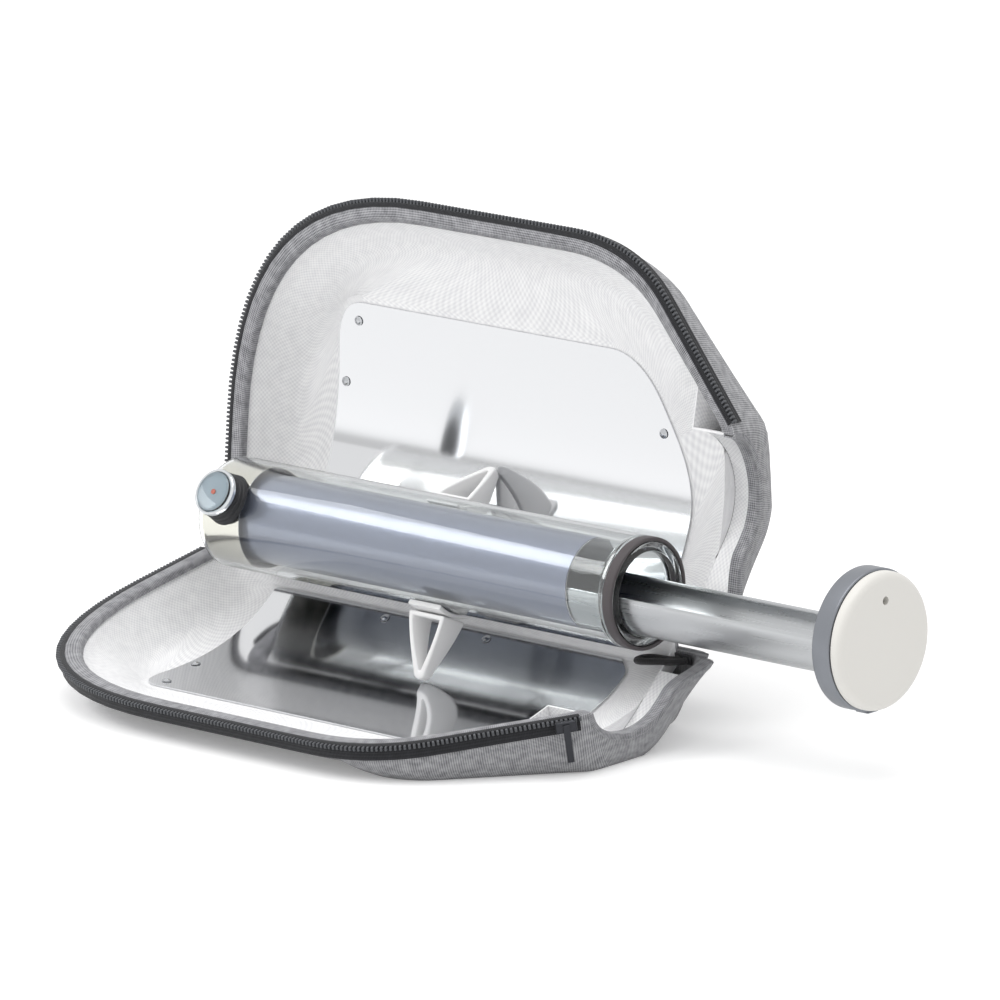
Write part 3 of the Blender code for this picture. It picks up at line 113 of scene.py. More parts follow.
@dataclass(frozen=True)
class Finish:
    """One finish of the oven, from what the real one is made of."""

    name: str
    slot: str
    hex_text: str
    roughness: float
    metallic: float = 0.0
    transmission: float = 0.0
    ior: float = 1.5
    sheen: float = 0.0
    coat: float = 0.0
    surface: Surface = Surface.PLAIN
    pitch: float = 0.0013
    second: str = ""
    relief: float = 0.0002

    def make(self) -> bpy.types.Material:
        """Make the material."""
        made = bpy.data.materials.new(self.name)
        made.use_nodes = True
        tree = made.node_tree
        shader = tree.nodes["Principled BSDF"]
        for key, value in (("Base Color", linear(self.hex_text)), ("Roughness", self.roughness),
                           ("Metallic", self.metallic), ("IOR", self.ior),
                           ("Transmission Weight", self.transmission),
                           ("Sheen Weight", self.sheen), ("Coat Weight", self.coat)):
            shader.inputs[key].default_value = value
        if self.surface in (Surface.MELANGE, Surface.MESH, Surface.RIBBED, Surface.BRAIDED):
            self.weave(tree, shader)
        elif self.surface is not Surface.PLAIN:
            self.grain(tree, shader)
        return made

    def weave(self, tree, shader) -> None:
        """Draw the threads on the piece's own UV map, which is in metres.

        Args:
            tree: The material's node tree.
            shader: Its shader.
        """
        uv = add_node(tree, "ShaderNodeUVMap").outputs["UV"]
        split = add_node(tree, "ShaderNodeSeparateXYZ", links={"Vector": uv})
        u, v = split.outputs["X"], split.outputs["Y"]
        if self.surface is not Surface.MESH:
            crossed = [add_node(tree, "ShaderNodeMath", {"operation": how}, {0: u, 1: v})
                       for how in ("ADD", "SUBTRACT")]
            u, v = (node.outputs["Value"] for node in crossed)
        waves = []
        for along in (u, v):
            turns = add_node(tree, "ShaderNodeMath", {"operation": "MULTIPLY", 1: math.tau / self.pitch},
                             {0: along})
            waves.append(add_node(tree, "ShaderNodeMath", {"operation": "SINE"},
                                  {0: turns.outputs["Value"]}))
        crowns = add_node(tree, "ShaderNodeMath", {"operation": "MULTIPLY"},
                          {0: waves[0].outputs["Value"], 1: waves[1].outputs["Value"]})
        height = add_node(tree, "ShaderNodeMath", {"operation": "MULTIPLY_ADD", 1: 0.5, 2: 0.5},
                          {0: crowns.outputs["Value"]})
        yarn = add_node(tree, "ShaderNodeTexNoise", {"Scale": 0.45 / self.pitch, "Detail": 1.0},
                        {"Vector": uv})
        share = add_node(tree, "ShaderNodeMath", {"operation": "MULTIPLY_ADD", 1: 0.9, 2: -0.45},
                         {0: yarn.outputs["Fac"]})
        mixed = add_node(tree, "ShaderNodeMath", {"operation": "ADD", "use_clamp": True},
                         {0: height.outputs["Value"], 1: share.outputs["Value"]})
        tint = add_node(tree, "ShaderNodeMix", {"data_type": "RGBA"},
                        {"Factor": mixed.outputs["Value"]})
        tint.inputs["A"].default_value = linear(self.second or self.hex_text)
        tint.inputs["B"].default_value = linear(self.hex_text)
        tree.links.new(tint.outputs["Result"], shader.inputs["Base Color"])
        bump = add_node(tree, "ShaderNodeBump", {"Strength": 1.0, "Distance": self.relief},
                        {"Height": height.outputs["Value"]})
        tree.links.new(bump.outputs["Normal"], shader.inputs["Normal"])

    def grain(self, tree, shader) -> None:
        """Draw brushing lines or a moulded skin on object coordinates.

        Args:
            tree: The material's node tree.
            shader: Its shader.
        """
        stretch = {Surface.BRUSHED: (0.02, 1.0, 1.0), Surface.TURNED: (1.0, 0.03, 0.03)}
        coords = add_node(tree, "ShaderNodeTexCoord")
        scaled = add_node(tree, "ShaderNodeMapping",
                          {"Scale": stretch.get(self.surface, (1.0, 1.0, 1.0))},
                          {"Vector": coords.outputs["Object"]})
        noise = add_node(tree, "ShaderNodeTexNoise", {"Scale": 1.0 / self.pitch, "Detail": 3.0},
                         {"Vector": scaled.outputs["Vector"]})
        spread = 0.10 if self.metallic else 0.06
        rough = add_node(tree, "ShaderNodeMapRange",
                         {"To Min": self.roughness - spread, "To Max": self.roughness + spread},
                         {"Value": noise.outputs["Fac"]})
        tree.links.new(rough.outputs["Result"], shader.inputs["Roughness"])
        bump = add_node(tree, "ShaderNodeBump", {"Strength": 0.6, "Distance": self.relief},
                        {"Height": noise.outputs["Fac"]})
        tree.links.new(bump.outputs["Normal"], shader.inputs["Normal"])


FINISHES = {
    # Melange polyester over foam: pale and dark grey threads in a twill, drawn at 2.4 mm so it shows
    "weave": Finish("Woven melange polyester", "weave", "BDBDC0", 0.95, sheen=0.25,
                    surface=Surface.MELANGE, pitch=0.0024, second="55565A"),
    "binding": Finish("Woven grey binding", "binding", "B4B4B8", 0.95, sheen=0.25,
                      surface=Surface.MELANGE, pitch=0.0022, second="4C4D51"),
    # White lining: a fine plain weave, whose pores show as small grey dots
    "lining": Finish("Thermoformed white lining", "lining", "FBFBFB", 0.85, sheen=0.1,
                     surface=Surface.MESH, pitch=0.0024, second="E4E4E6", relief=0.00008),
    "tape": Finish("Black zip tape", "tape", "24252A", 0.9, sheen=0.2,
                   surface=Surface.RIBBED, pitch=0.0016, second="101114"),
    "teeth": Finish("Moulded acetal zip teeth", "teeth", "4A4C50", 0.35),
    "cord": Finish("Braided elastic cord", "cord", "2B2A2C", 0.8, sheen=0.2,
                   surface=Surface.BRAIDED, pitch=0.0017, second="0C0C0E", relief=0.0003),
    # Lighting-grade aluminium sheet: an even, almost sharp reflection
    "mirror": Finish("Polished aluminium sheet", "mirror", "DDDEE0", 0.06, metallic=1.0),
    "steel": Finish("Stainless steel fastener", "steel", "C4C6C9", 0.22, metallic=1.0),
    "zinc": Finish("Black plated zinc casting", "zinc", "3C3D41", 0.32, metallic=0.9,
                   surface=Surface.MOULDED, pitch=0.0008, relief=0.00003),
    "glass": Finish("Borosilicate glass", "glass", "FBFDFD", 0.0, transmission=1.0, ior=1.474),
    # Sputtered selective coating under clear glass: blue-grey, dark, with a sharp gloss over it
    "coating": Finish("Selective absorber coating", "coating", "9298AB", 0.30, metallic=0.45,
                      coat=0.7),
    "silver": Finish("Evaporated getter film", "silver", "DCD8CE", 0.16, metallic=1.0),
    "rubber": Finish("Moulded silicone rubber", "rubber", "2A2A2D", 0.55,
                     surface=Surface.MOULDED, pitch=0.0006, relief=0.00002),
    "seal": Finish("Dark silicone seal", "rubber", "4B4648", 0.5,
                   surface=Surface.MOULDED, pitch=0.0006, relief=0.00002),
    "dial": Finish("Pale blue sight dial", "nylon", "9FB0BC", 0.35),
    "nylon": Finish("Moulded white nylon", "nylon", "F1F1F1", 0.38,
                    surface=Surface.MOULDED, pitch=0.0006, relief=0.00002),
    "red": Finish("Red enamel dot", "red", "D4552F", 0.35),
    "chrome": Finish("Chrome plate", "chrome", "DDE0E3", 0.07, metallic=1.0),
    "tray": Finish("Satin stainless sheet", "tray", "C6C8CA", 0.30, metallic=1.0,
                   surface=Surface.BRUSHED, pitch=0.0007, relief=0.00002),
    "cap": Finish("Satin anodised aluminium", "cap", "8A8D93", 0.38, metallic=0.85,
                  surface=Surface.TURNED, pitch=0.0006, relief=0.00002),
    "disc": Finish("Off-white moulded ABS", "disc", "DEDCD7", 0.42,
                   surface=Surface.MOULDED, pitch=0.0005, relief=0.00003),
}


@dataclass(frozen=True)
class Seat:
    """Where a group of pieces sits, and the body that it rides on."""

    body: str
    point: Vector
    turn: float
    side: int = 1

    def matrix(self) -> Matrix:
        """Return the matrix from the group's own frame to the oven's."""
        return (Matrix.Translation(self.point) @ Matrix.Rotation(self.turn, 4, "X")
                @ Matrix.Diagonal((1, 1, self.side, 1)))


# Making and finishing pieces

def choose(piece: bpy.types.Object) -> None:
    """Select one piece alone.

    Args:
        piece: The object to work on.
    """
    bpy.ops.object.select_all(action="DESELECT")
    piece.select_set(True)
    bpy.context.view_layer.objects.active = piece


def edit(piece: bpy.types.Object, *steps) -> None:
    """Run edit-mode operators on the whole of a piece.

    Args:
        piece: The object to work on.
        steps: The operators, each with its settings, as pairs.
    """
    choose(piece)
    bpy.ops.object.mode_set(mode="EDIT")
    bpy.ops.mesh.select_all(action="SELECT")
    for step, settings in steps:
        step(**settings)
    bpy.ops.object.mode_set(mode="OBJECT")


def modify(piece: bpy.types.Object, kind: str, **settings) -> None:
    """Add a modifier to a piece and apply it.

    Args:
        piece: The object to work on.
        kind: The modifier's type.
        settings: Its settings.
    """
    choose(piece)
    step = piece.modifiers.new(kind.title(), kind)
    for key, value in settings.items():
        setattr(step, key, value)
    bpy.ops.object.modifier_apply(modifier=step.name)


def lay(name: str, rings: list, size: tuple[float, float] = (1.0, 1.0),
        flat_row: int | None = None) -> bpy.types.Object:
    """Lay a grid primitive over rows of points, and merge the seams and poles.

    Args:
        name: The piece's name.
        rings: Rows of points, all of one length; a closed row repeats its first point.
        size: The real width along a row and length across the rows, for the UV map.
        flat_row: The row from which the UV map is the piece's own plan.

    Returns:
        The piece, in its group's own frame.
    """
    rows, columns = len(rings) - 1, len(rings[0]) - 1
    bpy.ops.object.select_all(action="DESELECT")
    bpy.ops.mesh.primitive_grid_add(x_subdivisions=columns, y_subdivisions=rows, size=1)
    piece = bpy.context.object
    piece.name = name
    piece.data.name = name
    for vert in piece.data.vertices:
        row = round((vert.co.y + 0.5) * rows)
        vert.co = rings[row][round((vert.co.x + 0.5) * columns)]
    plan = piece.data.uv_layers.active.data
    for polygon in piece.data.polygons:
        lowest = min(round(plan[i].uv[1] * rows) for i in polygon.loop_indices)
        for i, vert in zip(polygon.loop_indices, polygon.vertices):
            if flat_row is not None and lowest >= flat_row:
                plan[i].uv = piece.data.vertices[vert].co.xy
            else:
                plan[i].uv = (plan[i].uv[0] * size[0], plan[i].uv[1] * size[1])
    edit(piece, (bpy.ops.mesh.remove_doubles, {"threshold": 0.000005}))
    return piece


def face(piece: bpy.types.Object, centre: tuple[float, float, float], away: bool = True) -> None:
    """Turn an open sheet's faces away from a point, or towards it.

    Args:
        piece: The sheet.
        centre: The point, in the sheet's frame.
        away: Whether the faces look away from the point.
    """
    total = sum(p.area * p.normal.dot(p.center - Vector(centre)) for p in piece.data.polygons)
    if (total > 0) != away:
        edit(piece, (bpy.ops.mesh.flip_normals, {}))


def closed(piece: bpy.types.Object) -> bpy.types.Object:
    """Turn a closed piece's faces outwards."""
    edit(piece, (bpy.ops.mesh.normals_make_consistent, {"inside": False}))
    return piece


def dress(piece: bpy.types.Object, seat: Seat, finish: str, *nodes: str,
          angle: float = 40.0) -> bpy.types.Object:
    """Put a piece in its place, give it its finish and body, and hide the CAD nodes that it replaces.

    Args:
        piece: The piece, in its group's own frame.
        seat: The group's place and body.
        finish: The name of its finish.
        nodes: The CAD nodes that it replaces.
        angle: The angle in degrees above which an edge stays sharp.

    Returns:
        The piece.
    """
    piece.data.transform(seat.matrix())
    if seat.side < 0:
        edit(piece, (bpy.ops.mesh.flip_normals, {}))
    choose(piece)
    bpy.ops.object.shade_smooth_by_angle(angle=math.radians(angle))
    piece.data.materials.clear()
    piece.data.materials.append(PAINT[finish])
    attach(piece, seat.body)
    if nodes:
        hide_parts(*nodes)
    LOG.info("%s: %d faces", piece.name, len(piece.data.polygons))
    return piece


def rounded(profile: list, radius: float, closed_loop: bool = False, steps: int = 4) -> list:
    """Round the corners of a profile.

    Args:
        profile: Its corners, as pairs.
        radius: How far a corner's curve reaches along each side.
        closed_loop: Whether the last corner joins the first.
        steps: The pieces of each curve.

    Returns:
        The rounded profile's points.
    """
    corners = [Vector(p) for p in profile]
    count = len(corners)
    points = []
    for i, corner in enumerate(corners):
        if not closed_loop and i in (0, count - 1):
            points.append(corner)
            continue
        before, after = corners[i - 1], corners[(i + 1) % count]
        reach_in = min(radius, (before - corner).length * 0.45)
        reach_out = min(radius, (after - corner).length * 0.45)
        first = corner + (before - corner).normalized() * reach_in
        last = corner + (after - corner).normalized() * reach_out
        for k in range(steps + 1):
            t = k / steps
            points.append(first * (1 - t) ** 2 + corner * 2 * t * (1 - t) + last * t ** 2)
    if closed_loop:
        points.append(points[0])
    return points


def length_of(points: list) -> float:
    """Return the length of a line of points."""
    return sum((b - a).length for a, b in zip(points, points[1:]))


def spun(name: str, profile: list, steps: int = 96, upright: float | None = None) -> bpy.types.Object:
    """Spin a profile of (radius, distance along the axis) round the X axis.

    Args:
        name: The piece's name.
        profile: The points; a ring's profile repeats its first point.
        steps: The number of steps round.
        upright: An x at which the axis stands along Y instead, for the sight.

    Returns:
        The closed piece.
    """
    rings = []
    for radius, along in profile:
        ring = []
        for i in range(steps + 1):
            a = math.tau * (i % steps) / steps
            if upright is None:
                ring.append(Vector((along, radius * math.cos(a), radius * math.sin(a))))
            else:
                ring.append(Vector((upright + radius * math.cos(a), along, radius * math.sin(a))))
        rings.append(ring)
    widest = max(p[0] for p in profile)
    size = (math.tau * widest, length_of([Vector(p) for p in profile]))
    return closed(lay(name, rings, size))


def block(name: str, size: tuple, place: tuple, bevel: float, turn: float = 0.0) -> bpy.types.Object:
    """Add a box with rounded edges.

    Args:
        name: The piece's name.
        size: Its three sizes.
        place: Its middle.
        bevel: The radius of its edges.
        turn: Its turn about Z, in radians.

    Returns:
        The piece.
    """
    bpy.ops.object.select_all(action="DESELECT")
    bpy.ops.mesh.primitive_cube_add(size=1.0)
    piece = bpy.context.object
    piece.name = name
    piece.data.name = name
    piece.data.transform(Matrix.Translation(place) @ Matrix.Rotation(turn, 4, "Z")
                         @ Matrix.Diagonal((*size, 1)))
    modify(piece, "BEVEL", width=bevel, segments=3, limit_method="ANGLE")
    return piece


def catmull(points: list, per_span: int) -> list:
    """Return points of a smooth curve through a few points.

    Args:
        points: The points that the curve passes through.
        per_span: The number of steps between two of them.

    Returns:
        The curve's points.
    """
    knots = [points[0] * 2 - points[1]] + list(points) + [points[-1] * 2 - points[-2]]
    route = []
    for i in range(1, len(knots) - 2):
        a, b, c, d = knots[i - 1:i + 3]
        for k in range(per_span):
            t = k / per_span
            route.append(0.5 * (2 * b + (c - a) * t + (2 * a - 5 * b + 4 * c - d) * t ** 2
                                + (3 * b - a - 3 * c + d) * t ** 3))
    route.append(points[-1].copy())
    return route


def tube_along(name: str, path: list, radius: float, steps: int = 14) -> bpy.types.Object:
    """Make a round tube along a path, closed at both ends.

    Args:
        name: The piece's name.
        path: The points of its middle line.
        radius: Its radius.
        steps: The number of steps round.

    Returns:
        The tube.
    """
    rings = []
    side = Vector((0, 0, 1))
    for i, spot in enumerate(path):
        ahead = (path[min(i + 1, len(path) - 1)] - path[max(i - 1, 0)]).normalized()
        side = (side - ahead * side.dot(ahead)).normalized()
        over = ahead.cross(side)
        ring = [spot + side * radius * math.cos(math.tau * (k % steps) / steps)
                + over * radius * math.sin(math.tau * (k % steps) / steps)
                for k in range(steps + 1)]
        rings.append(ring)
    rings.insert(0, [path[0]] * (steps + 1))
    rings.append([path[-1]] * (steps + 1))
    return closed(lay(name, rings, (math.tau * radius, length_of(path))))


# The case's outlines, in (x, s): along the tube and away from the hinge

def outline(corners: list) -> list:
    """Return a closed outline with soft corners, always with the same number of points.

    Args:
        corners: Each corner's x, s and its reach before and after it.

    Returns:
        The outline's points, without a repeat of the first.
    """
    spots = [Vector(c[:2]) for c in corners]
    total = len(spots)
    loop = []
    for i in range(total):
        corner = spots[i]
        first = corner + (spots[i - 1] - corner).normalized() * corners[i][2]
        last = corner + (spots[(i + 1) % total] - corner).normalized() * corners[i][3]
        for k in range(CORNER_POINTS):
            t = k / (CORNER_POINTS - 1)
            loop.append(first * (1 - t) ** 2 + corner * 2 * t * (1 - t) + last * t ** 2)
        far = spots[(i + 1) % total]
        goal = far + (corner - far).normalized() * corners[(i + 1) % total][2]
        loop += [last.lerp(goal, k / EDGE_SPLITS[i]) for k in range(1, EDGE_SPLITS[i])]
    return loop


def on_loop(loop: list, share: float) -> Vector:
    """Return the point of a closed outline at a fractional index."""
    low = int(share)
    return loop[low % len(loop)].lerp(loop[(low + 1) % len(loop)], share - low)


def even_shares(loop: list, count: int) -> list:
    """Return the fractional indices of points that are evenly spaced round an outline.

    Args:
        loop: The outline.
        count: The number of steps.

    Returns:
        count + 1 indices; the last stands for the first point again.
    """
    lengths = [0.0]
    for a, b in zip(loop, loop[1:] + loop[:1]):
        lengths.append(lengths[-1] + (b - a).length)
    shares = []
    k = 0
    for i in range(count + 1):
        goal = lengths[-1] * i / count
        while k < len(loop) - 1 and lengths[k + 1] < goal:
            k += 1
        shares.append(k + (goal - lengths[k]) / (lengths[k + 1] - lengths[k]))
    return shares


def ramp(value: float, low: float, high: float) -> float:
    """Return 0 up to low, 1 from high, and a straight rise between."""
    return min(1.0, max(0.0, (value - low) / (high - low)))


def ease(value: float, low: float, high: float) -> float:
    """Return 0 up to low, 1 from high, and a soft rise between."""
    t = ramp(value, low, high)
    return t * t * (3 - 2 * t)


@dataclass
class CaseHalf:
    """One half of the case, with its trough mirror, zip tape and hinge leaf."""

    word: str
    seat: Seat
    left: float = -0.315
    back: float = 0.0025
    front: float = 0.1895
    corner: float = 0.125
    chamfer_start: float = -0.046
    chamfer_end: tuple = (0.028, 0.105)
    bulge: float = 0.030
    belly_depth: float = 0.050
    belly_back: float = 0.014
    belly_front: float = 0.137
    shell_wall: float = 0.0022
    lining_wall: float = 0.0012
    rim_level: float = 0.0004
    band_height: float = 0.0015
    notch_radius: float = 0.0377
    notch_start: float = -0.0008
    neck_start: float = -0.008
    neck_floor: float = 0.005
    neck_wall: float = 0.0012
    lip_wall: float = 0.0014
    lip_start: float = 0.0200
    lip_route: tuple = ((0.1010, 0.0), (0.0990, 0.0080), (0.0935, 0.0140), (0.0850, 0.0190),
                        (0.0750, 0.0223), (0.0640, 0.0230), (0.0540, 0.0210), (0.0460, 0.0168),
                        (0.0390, 0.0126), (0.0300, 0.0110), (0.0200, 0.0106), (0.0100, 0.0094))
    mirror_sheet: float = 0.0008
    mirror_inner: float = 0.018
    mirror_outer: float = 0.117
    mirror_left: float = -0.275
    mirror_right: float = -0.022
    rivets: tuple = ((-0.2495, 0.1105), (-0.2615, 0.087), (-0.043, 0.090), (-0.194, 0.0235),
                     (-0.124, 0.0235))
    tape_height: float = 0.0085
    tooth_pitch: float = 0.0023
    leaf: tuple = (-0.296, -0.0035, 0.018)
    soft_edge: float = 1.5
    full_edge: float = 3.6
    wall_rows: int = 22
    rim_columns: int = 260
    lining_columns: int = 240
    belly_rings: tuple = (0.02, 0.045, 0.07, 0.1, 0.13, 0.17, 0.22, 0.28, 0.36, 0.48, 0.65, 1.0)
    hem_offsets: tuple = (0.0004, 0.0018, 0.0036)
    lip_edge: list = field(default_factory=list)

    def rim(self, inset: float = 0.0, back: float | None = None) -> list:
        """Return the rim's outline.

        Args:
            inset: How far it is drawn in.
            back: The distance from the hinge at which it starts, or None for the rim's own.

        Returns:
            Its points in (x, s).
        """
        corner = max(0.0, self.corner - inset * 0.9)
        low = self.back if back is None else back
        end_x, end_s = self.chamfer_end
        return outline([
            (self.left + inset, low, 0.010, 0.010),
            (self.left + inset, self.front - inset, corner, corner),
            (self.chamfer_start - inset * 0.45, self.front - inset, 0.040, 0.034),
            (end_x - inset * 0.85, end_s - inset * 0.15, 0.006, 0.006),
            (self.bulge - 0.002 - inset, low, 0.008, 0.008),
            (-0.024, low, 0.004, 0.004)])

    def mirror_edge(self, inset: float = 0.0) -> list:
        """Return the mirror's outline.

        Args:
            inset: How far it is drawn in.

        Returns:
            Its points in (x, q).
        """
        low = self.mirror_inner + inset
        return outline([
            (self.mirror_left + inset, low, 0.003, 0.003),
            (self.mirror_left + 0.012 + inset, self.mirror_outer - inset, 0.018, 0.018),
            (self.mirror_right - 0.033 - inset * 0.5, self.mirror_outer - inset, 0.020, 0.020),
            (self.mirror_right - inset, 0.072, 0.022, 0.016),
            (self.mirror_right - 0.005 - inset, low + 0.008, 0.004, 0.004),
            (self.mirror_right - 0.014 - inset, low, 0.002, 0.002)])

    def on_parabola(self, x: float, q: float, behind: float = 0.0) -> Vector:
        """Return the point on the mirror's parabola at distance q from the bisecting plane.

        Args:
            x: The place along the tube.
            q: The distance from the bisecting plane.
            behind: How far behind the reflecting face.

        Returns:
            The point in the case's frame.
        """
        slope = q / (2 * FOCAL_LENGTH)
        norm = math.hypot(1, slope)
        p = q * q / (4 * FOCAL_LENGTH) - behind / norm - (FOCAL_LENGTH - HINGE_TO_TUBE)
        q += behind * slope / norm
        return Vector((x, p * math.cos(HALF_OPEN) + q * math.sin(HALF_OPEN),
                       -p * math.sin(HALF_OPEN) + q * math.cos(HALF_OPEN)))

    def mirror_depth(self, s: float) -> float:
        """Return the parabola's depth at a distance from the hinge."""
        low, high = self.mirror_inner, self.mirror_outer
        for _ in range(24):
            middle = (low + high) / 2
            if self.on_parabola(0, middle)[1] < s:
                low = middle
            else:
                high = middle
        return self.on_parabola(0, low)[2]

    def belly(self, s: float) -> float:
        """Return the belly's depth at a distance from the hinge."""
        return self.belly_depth - (s - self.belly_back) * math.tan(RIM_TILT)

    def lip_depth(self, s: float) -> float:
        """Return the lip's depth, level in front of its lowest part, at a distance s."""
        route = self.lip_route
        for (near_s, near_d), (far_s, far_d) in zip(route[3:], route[4:]):
            if s >= far_s:
                return far_d + (near_d - far_d) * ramp(s, far_s, near_s)
        return route[-1][1]

    def neck_depth(self, x: float, s: float, depth: float, top: float) -> float:
        """Draw a point of the shell up round the cap's recess.

        Args:
            x: The point's place along the tube.
            s: Its distance from the hinge.
            depth: Its depth before.
            top: The depth at which the shell's wall starts.

        Returns:
            Its depth.
        """
        full = self.belly(s)
        limit = full
        if s < FOLDED_S:
            radius = self.notch_radius + self.lining_wall + self.shell_wall + 2 * FIT
            drift = (Vector((FOLDED_S, 0.0)) - REST_SPOT).normalized()
            if s > FOLDED_S - radius * drift.y:
                round_depth = math.sqrt(radius ** 2 - (FOLDED_S - s) ** 2)
            else:
                round_depth = (radius - (FOLDED_S - s) * drift.y) / drift.x
            drawn = ease(x, self.neck_start, self.lip_start - 0.001)
            limit += (min(full, round_depth) - full) * drawn
        floor = self.lip_depth(s) + self.neck_floor
        limit += min(0.0, floor - limit) * ease(x, self.lip_start, self.bulge)
        return top + (depth - top) * (limit - top) / (full - top)

    def notch_path(self, radius: float, steps: int = 36) -> list:
        """Return the cap's clearance in (s, d), from the front to the hinge side."""
        centre = Vector((FOLDED_S, 0.0))
        drift = (REST_SPOT - centre).normalized()
        last = math.pi / 2 + math.atan2(-drift.y, -drift.x)
        return [centre + Vector((math.cos(last * i / steps), math.sin(last * i / steps))) * radius
                for i in range(steps + 1)]

    def lip_path(self, offset: float = 0.0) -> list:
        """Return the lip's line in (s, d), moved out from the recess by an offset."""
        path = catmull([Vector(p) for p in self.lip_route], 5)
        moved = []
        for i, point in enumerate(path):
            ahead = (path[min(i + 1, len(path) - 1)] - path[max(i - 1, 0)]).normalized()
            moved.append(point + Vector((ahead.y, -ahead.x)) * offset)
        return moved

    @staticmethod
    def cut_end(piece: bpy.types.Object, loop: list, first_x: float, last_x: float) -> None:
        """Cut a prism out of a piece's right end.

        Args:
            piece: The piece.
            loop: The prism's outline in (s, d).
            first_x: Its left end.
            last_x: Its right end.
        """
        bpy.ops.object.select_all(action="DESELECT")
        bpy.ops.mesh.primitive_cylinder_add(vertices=len(loop), radius=1.0, depth=2.0)
        cutter = bpy.context.object
        for vert in cutter.data.vertices:
            turn = math.atan2(vert.co.x, vert.co.y) % math.tau
            spot = loop[round(turn / math.tau * len(loop)) % len(loop)]
            vert.co = (first_x if vert.co.z < 0 else last_x, spot.x, spot.y)
        closed(cutter)
        modify(piece, "BOOLEAN", object=cutter, operation="DIFFERENCE", solver="EXACT")
        bpy.data.objects.remove(cutter)

    def cut_recess(self, piece: bpy.types.Object) -> None:
        """Cut the cap's clearance and the lip's opening out of a piece."""
        path = self.notch_path(self.notch_radius + self.lip_wall + FIT)
        lean = path[-1] - Vector((FOLDED_S, 0.0))
        deep = path + [REST_SPOT + lean, Vector((REST_SPOT.x - 0.05, REST_SPOT.y + lean.y / 2)),
                       Vector((REST_SPOT.x - 0.05, -0.05)), Vector((path[0].x, -0.05))]
        self.cut_end(piece, deep, self.notch_start, self.lip_start + self.neck_wall + FIT)
        lip = self.lip_path(self.lip_wall + FIT)
        lip += [Vector((-0.05, lip[-1].y)), Vector((-0.05, -0.05)), Vector((lip[0].x, -0.05))]
        self.cut_end(piece, lip, self.lip_start, self.bulge + 0.05)

    def shell(self) -> None:
        """Make the woven outer shell with its flat belly, drawn up round the cap's recess."""
        rim = self.rim()
        shares = even_shares(rim, self.rim_columns)
        belly = outline([
            (self.left + 0.022, self.belly_back, 0.012, 0.012),
            (self.left + 0.040, self.belly_front, 0.070, 0.070),
            (-0.066, self.belly_front, 0.030, 0.030),
            (self.chamfer_end[0] - 0.010, 0.092, 0.010, 0.010),
            (self.bulge - 0.011, self.belly_back, 0.010, 0.010),
            (-0.024, self.belly_back, 0.004, 0.004)])
        level = self.rim_level + 0.0008
        rings = [[Vector((*on_loop(rim, share), level + rise)) for share in shares]
                 for rise in (0.0, 0.0019)]
        level += 0.0035
        for step in range(self.wall_rows + 1):
            rise = math.sin(step / self.wall_rows * math.pi / 2)
            ring = []
            for share in shares:
                edge, foot = on_loop(rim, share), on_loop(belly, share)
                near_end = max(ramp(foot.x, -0.085, -0.045), 1 - ramp(foot.y, 0.034, 0.050))
                square = self.soft_edge + (self.full_edge - self.soft_edge) * near_end
                spot = edge.lerp(foot, 1 - (1 - rise ** square) ** (1 / square))
                depth = level + (self.belly(foot.y) - level) * rise
                ring.append(Vector((*spot, self.neck_depth(*spot, depth, level))))
            rings.append(ring)
        flat_row = len(rings) - 1
        feet = [on_loop(belly, share) for share in shares]
        middle = sum(feet, Vector((0, 0))) / len(feet)
        for part in self.belly_rings:
            spots = [foot.lerp(middle, part) for foot in feet]
            rings.append([Vector((*spot, self.neck_depth(*spot, self.belly(spot.y), level)))
                          for spot in spots])
        wide = length_of(rim + rim[:1])
        piece = lay(self.word + "_shell_cloth", rings, (wide, 0.075 * len(rings) / flat_row), flat_row)
        face(piece, (-0.13, 0.08, 0.01))
        self.find_lip_edge(piece)
        modify(piece, "SOLIDIFY", thickness=self.shell_wall, offset=-1, use_even_offset=False)
        self.cut_recess(piece)
        dress(piece, self.seat, "weave", self.word + "_shell")

    def find_lip_edge(self, piece: bpy.types.Object) -> None:
        """Find the shell's outside beside the lip, where the trim rolls over it.

        Args:
            piece: The shell, before it is cut.
        """
        self.lip_edge = []
        for offset in self.hem_offsets:
            row = []
            for spot in self.lip_path(offset):
                hit, place, _, _ = piece.ray_cast(
                    Vector((self.bulge + 0.05, spot.x, max(spot.y, 0.003))), Vector((-1, 0, 0)))
                row.append(place.x if hit else self.bulge - 0.012)
            self.lip_edge.append(row)

